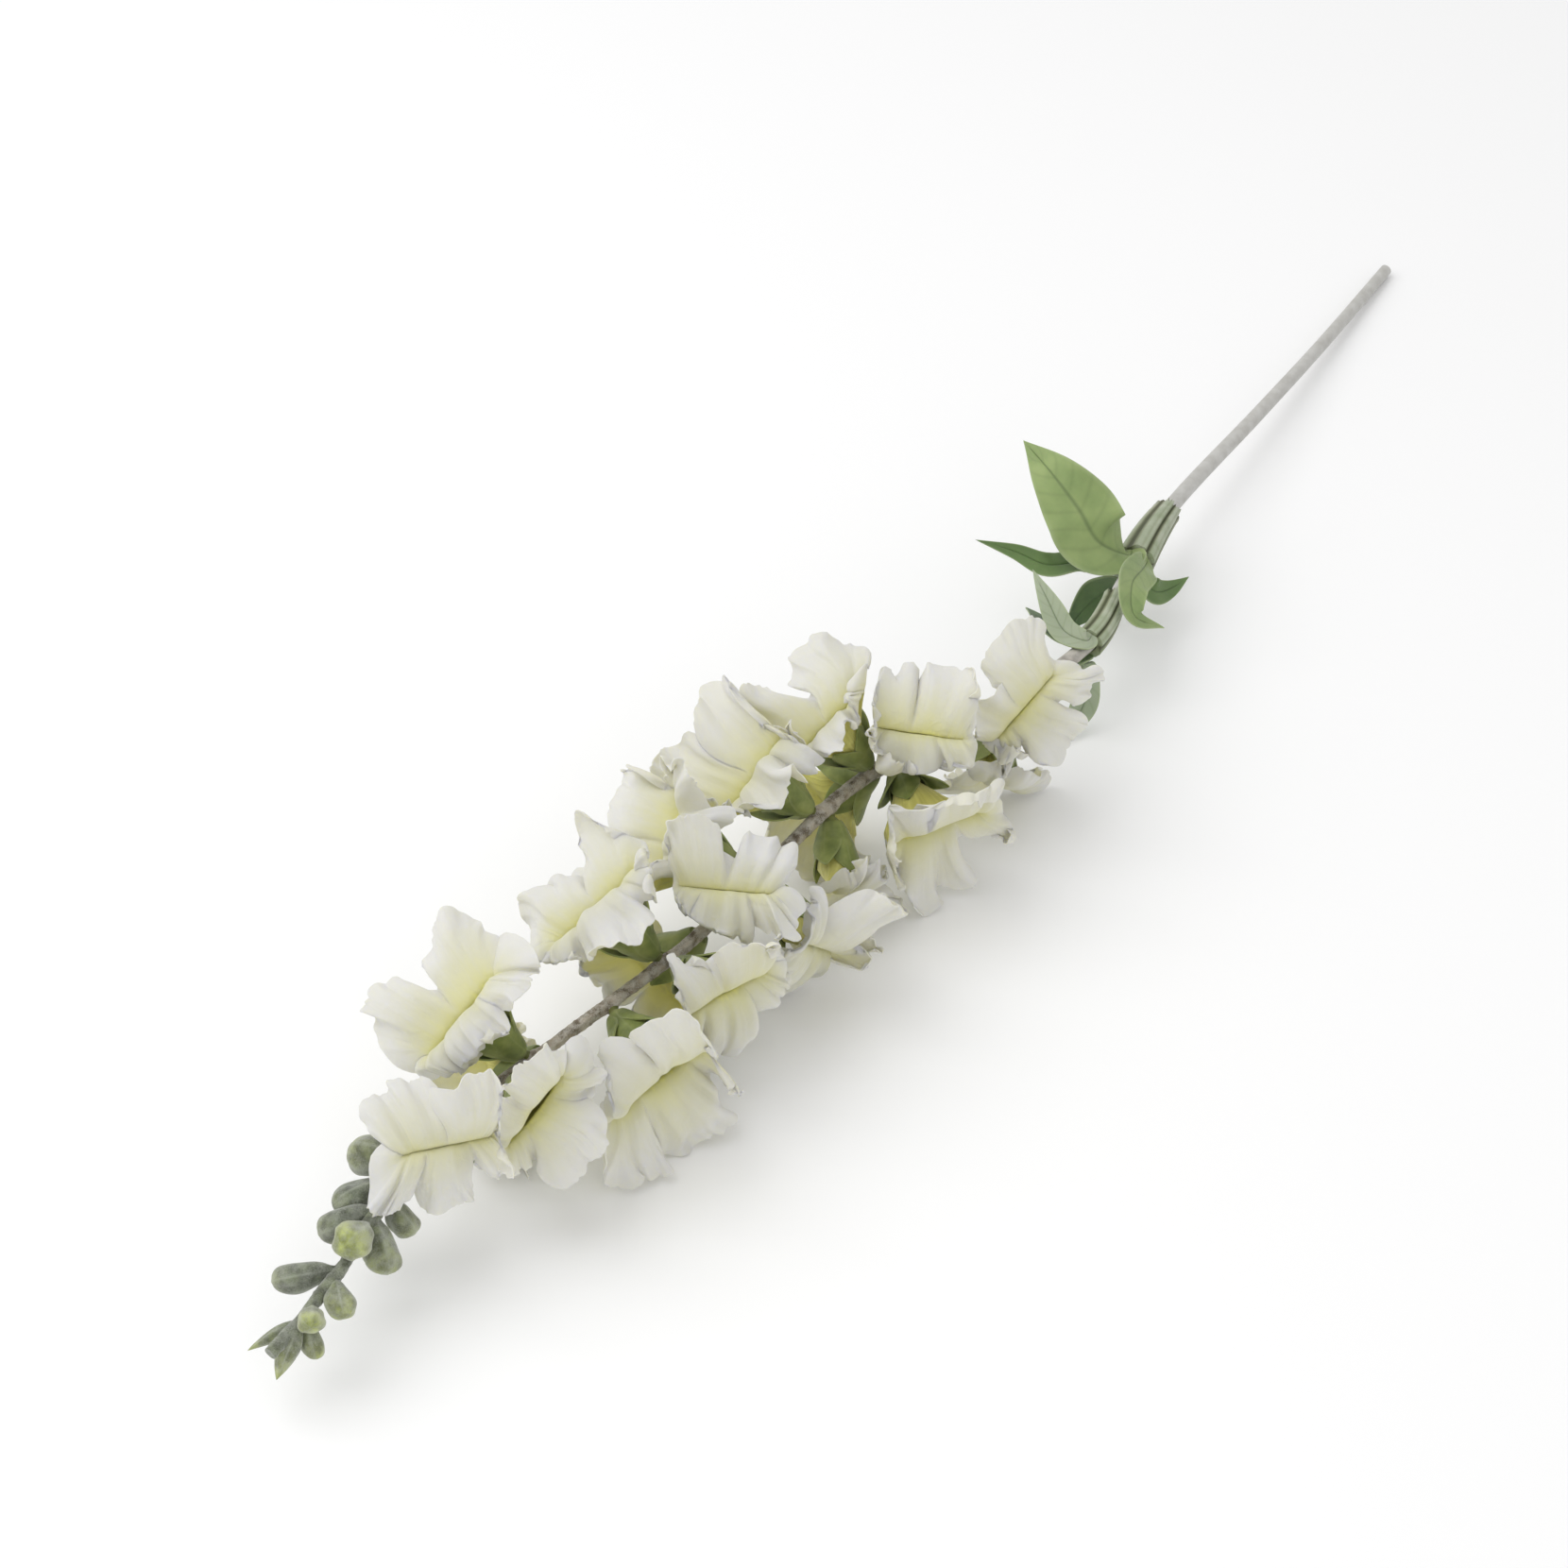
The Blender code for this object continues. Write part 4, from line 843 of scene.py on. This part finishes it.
def folded(grid, share, lip, number, chance):
    """The lips' cloth with its folds, its large ruffles and its crumple, which grow toward the rim."""
    folds = np.zeros(RIM_COLUMNS)
    for _ in range(FOLDS):
        off = (share - chance.uniform(0, 1) + 0.5) % 1 - 0.5
        height = chance.choice([-1, 1]) * chance.uniform(0.4, 1)
        folds += height * np.exp(-(off / chance.uniform(*FOLD_WIDTHS)) ** 2)
    lift = FOLD * np.minimum(lip / FOLD_BLEND, 1)[:, None] * folds
    lift = lift + RUFFLE * lip[:, None] ** 1.6 * ripple(share, RUFFLES, chance)
    grid[TUBE_RINGS:] += grid_normals(grid, True)[TUBE_RINGS:] * lift[..., None]
    crumpled = np.zeros_like(grid)
    crumpling = np.random.default_rng(300 + number)
    for _ in range(CRUMPLES):
        pull, run = unit(crumpling.normal(size=3)), unit(crumpling.normal(size=3))
        wave = grid @ run * 2 * math.pi / crumpling.uniform(*CRUMPLE_LENGTHS)
        crumpled += pull * (np.sin(wave + crumpling.uniform(0, 6.3)) * CRUMPLE / 2)[..., None]
    grid[TUBE_RINGS:] += crumpled[TUBE_RINGS:] * (lip**1.3)[:, None, None]
    return grid


def corolla_form(number, chance):
    """The middle surface of one corolla in its own frame: x right, y to its upper side, z outward."""
    size, upper_turn, lower_turn, upper_curl, lower_curl, gape = BLOOMS[number][4:]
    angles, share = rim_angles(RIM_COLUMNS)
    cosine, sine = np.cos(angles), np.sin(angles)
    gap = MOUTH_CORNER + (gape - MOUTH_CORNER) * np.abs(sine) ** 0.7
    marks = np.arange(len(TUBE_LINE))
    rings = []
    for mark in np.linspace(0, marks[-1], TUBE_RINGS + 1)[:-1]:
        half_width, half_height, height = read_at(mark, marks, TUBE_LINE)
        half_height = half_height + gap * (mark / marks[-1]) ** 3
        rings.append(np.stack([half_width * cosine, half_height * sine, np.full(RIM_COLUMNS, height)], 1))
    is_upper = 0.5 + 0.5 * np.tanh(3 * sine)
    fan = np.radians(LOWER_FAN + (UPPER_FAN - LOWER_FAN) * is_upper)
    sideways = fan * np.sign(cosine) * np.abs(cosine) ** 1.3
    flare = unit(np.stack([np.sin(sideways), np.cos(sideways) * np.tanh(6 * sine)], 1))
    lengths, to_side, bend = cut_lobes(angles, chance)
    open_to = lower_turn + (upper_turn - lower_turn) * is_upper + LOBE_OPEN * bend
    curl = lower_curl + (upper_curl - lower_curl) * is_upper + LOBE_CURL * bend
    curl = curl + SIDE_WRAP * np.abs(cosine) ** 1.5 + LOBE_DOME * to_side**2
    line = [np.stack([MOUTH_HALF_WIDTH * cosine, gap * sine, np.full(RIM_COLUMNS, MOUTH_AT)], 1)]
    for step in range(LIP_STEPS):
        along = (step + 0.5) / LIP_STEPS
        turn = np.radians(open_to * (1 - math.exp(-along / ROUNDING)) + curl * along**1.4)
        outward = np.sin(turn) * lengths / LIP_STEPS
        onward = np.cos(turn) * lengths / LIP_STEPS
        line.append(line[-1] + np.column_stack([flare * outward[:, None], onward]))
    lip = np.linspace(0, 1, LIP_RINGS)
    for along in lip:
        step = min(int(along * LIP_STEPS), LIP_STEPS - 1)
        rings.append(line[step] + (line[step + 1] - line[step]) * (along * LIP_STEPS - step))
    grid = folded(np.array(rings), share, lip, number, chance)
    stretch = 1 + (size - 1) * np.clip((grid[..., 2:] - TUBE_FROM) / (TUBE_MIDDLE - TUBE_FROM), 0, 1)
    grid[..., :2] *= stretch
    grid[..., 2:] = TUBE_FROM + (grid[..., 2:] - TUBE_FROM) * size
    return grid, angles, share, lip, lengths


def cut_and_ruffled(grid, share, lip, lengths, size, chance):
    """The formed cloth with its small ruffles, its creases and its pinked edge."""
    def rippled(waves, least, swing):
        return least + swing * ripple(share, waves, chance)

    normals = grid_normals(grid, True)
    outward = unit(np.gradient(grid, axis=0))
    deep = np.concatenate([np.zeros(TUBE_RINGS), lip])[:, None]
    strength = np.clip(lengths / 20, 0.25, 1.1)
    small = rippled(SMALL_RUFFLES[0], 0, SMALL_RUFFLES[1]) * rippled(5, 0.65, 0.35)
    tiny = rippled(TINY_RUFFLES[0], 0, TINY_RUFFLES[1]) * rippled(7, 0.6, 0.4)
    creases = np.zeros(grid.shape[:2])
    for _ in range(CREASES):
        drift, width, height, start = [chance.uniform(*limits) for limits in CREASE_RANGES]
        middle = chance.uniform(0, 1)
        off = (share[None, :] - middle - drift * deep + 0.5) % 1 - 0.5
        grown = np.clip((deep - start) / CREASE_BLEND, 0, 1)
        creases += chance.choice([-1, 1]) * height * grown * np.exp(-np.abs(off) / width)
    grid = grid + normals * (strength * (deep**2.2 * small + deep**5 * tiny + creases))[..., None] * size
    teeth = 1 - np.abs(np.sin(math.pi * (share * TEETH + rippled(11, 0, 0.7)))) ** 0.7
    torn = TOOTH * teeth * rippled(13, 0.6, 0.6) + rippled(15, 0, FRAY)
    grid = grid - outward * (deep**7 * strength * torn)[..., None] * size
    grid[..., 2] = np.maximum(grid[..., 2], CLOTH / 2)
    return grid


def cup_solid(grid, thickness):
    """A closed sheet with the shape of a cup, from the rings of its middle surface, foot first."""
    offset = grid_normals(grid, True) * thickness / 2
    rings = np.concatenate([grid + offset, (grid - offset)[:0:-1]])
    points = rings.reshape(-1, 3)
    points[:, 2] = np.maximum(points[:, 2], 0)
    return points, capped(*rings.shape[:2])


for number, bloom in enumerate(BLOOMS):
    chance = np.random.default_rng(200 + number)
    form, angles, share, lip, lengths = corolla_form(number, chance)
    cloth_grid = kept_in(number, placed(form, *branch(*bloom[:4], CUP_CLEAR)))
    cloth_grid = kept_in(number, cut_and_ruffled(cloth_grid, share, lip, lengths, bloom[4], chance), (0,))
    points, faces = cup_solid(cloth_grid, CLOTH)
    in_tube = np.linspace(0.0, TUBE_DEPTH, TUBE_RINGS, endpoint=False)
    depth = np.concatenate([in_tube, TUBE_DEPTH + (1 - TUBE_DEPTH) * lip**LIP_DEPTH_CURVE])
    depth = np.repeat(depth[:, None], RIM_COLUMNS, 1)
    back = np.repeat([1.0, 0.0], [depth.size, depth[1:].size])
    depth = np.concatenate([depth, depth[:0:-1]])
    # Directions and depth, moved by the number so that no two blooms have the same streaks
    fan = np.stack([np.cos(angles) + 0 * depth, np.sin(angles) + 0 * depth, 0.12 * depth + number], 2)
    add_piece(f"silk_corolla_{number + 1:02d}", points, faces, silk, f"petals_{number + 1:02d}",
              {"depth": depth.ravel(), "fan": fan.reshape(-1, 3), "back": back}, sharp=65)

# The studio.
# A pale floor that the stem lies on, broad soft light from above and from the left, and a long lens that
# looks down from the buds' side.
FLOOR_HALF, FLOOR_BELOW, WORLD_LIGHT = 4000, 0.2, 0.72
# Each lamp: its name, its place, its width and its power in watts
SOFT_BOXES = [("soft_box_above", (-500, 700, 1300), 1500, 12), ("soft_box_front", (-1100, -900, 700), 900, 2)]
LIT_AT = (-40, 0, 30)
CAMERA_AT, CAMERA_AIM, CAMERA_LENS = (-966.4, -562.5, 929.9), (-65.1, 18.8, 30.0), 100

floor_paint, _, shader = new_material("pale_floor", 0.9)
shader.inputs["Base Color"].default_value = (0.95, 0.95, 0.95, 1)
floor_mesh = bpy.data.meshes.new("floor")
corners = [(x * FLOOR_HALF * MM, y * FLOOR_HALF * MM, -FLOOR_BELOW * MM)
           for x, y in ((-1, -1), (1, -1), (1, 1), (-1, 1))]
floor_mesh.from_pydata(corners, [], [(0, 1, 2, 3)])
floor_mesh.materials.append(floor_paint)
floor = bpy.data.objects.new("floor", floor_mesh)
bpy.context.scene.collection.objects.link(floor)

world = bpy.data.worlds.new("studio")
world.use_nodes = True
world.node_tree.nodes["Background"].inputs["Color"].default_value = (1.0, 1.0, 1.0, 1)
world.node_tree.nodes["Background"].inputs["Strength"].default_value = WORLD_LIGHT
bpy.context.scene.world = world
bpy.context.scene.view_settings.view_transform = "Standard"


def aim(thing, place, target):
    thing.location = Vector(place) * MM
    thing.rotation_euler = (Vector(target) * MM - thing.location).to_track_quat("-Z", "Y").to_euler()
    bpy.context.scene.collection.objects.link(thing)


for name, place, width, power in SOFT_BOXES:
    lamp = bpy.data.lights.new(name, "AREA")
    lamp.size = width * MM
    lamp.energy = power
    aim(bpy.data.objects.new(name, lamp), place, LIT_AT)

lens = bpy.data.cameras.new("camera")
lens.lens = CAMERA_LENS
lens.sensor_width = 36
lens.clip_start = 0.05
camera = bpy.data.objects.new("camera", lens)
aim(camera, CAMERA_AT, CAMERA_AIM)
bpy.context.scene.camera = camera
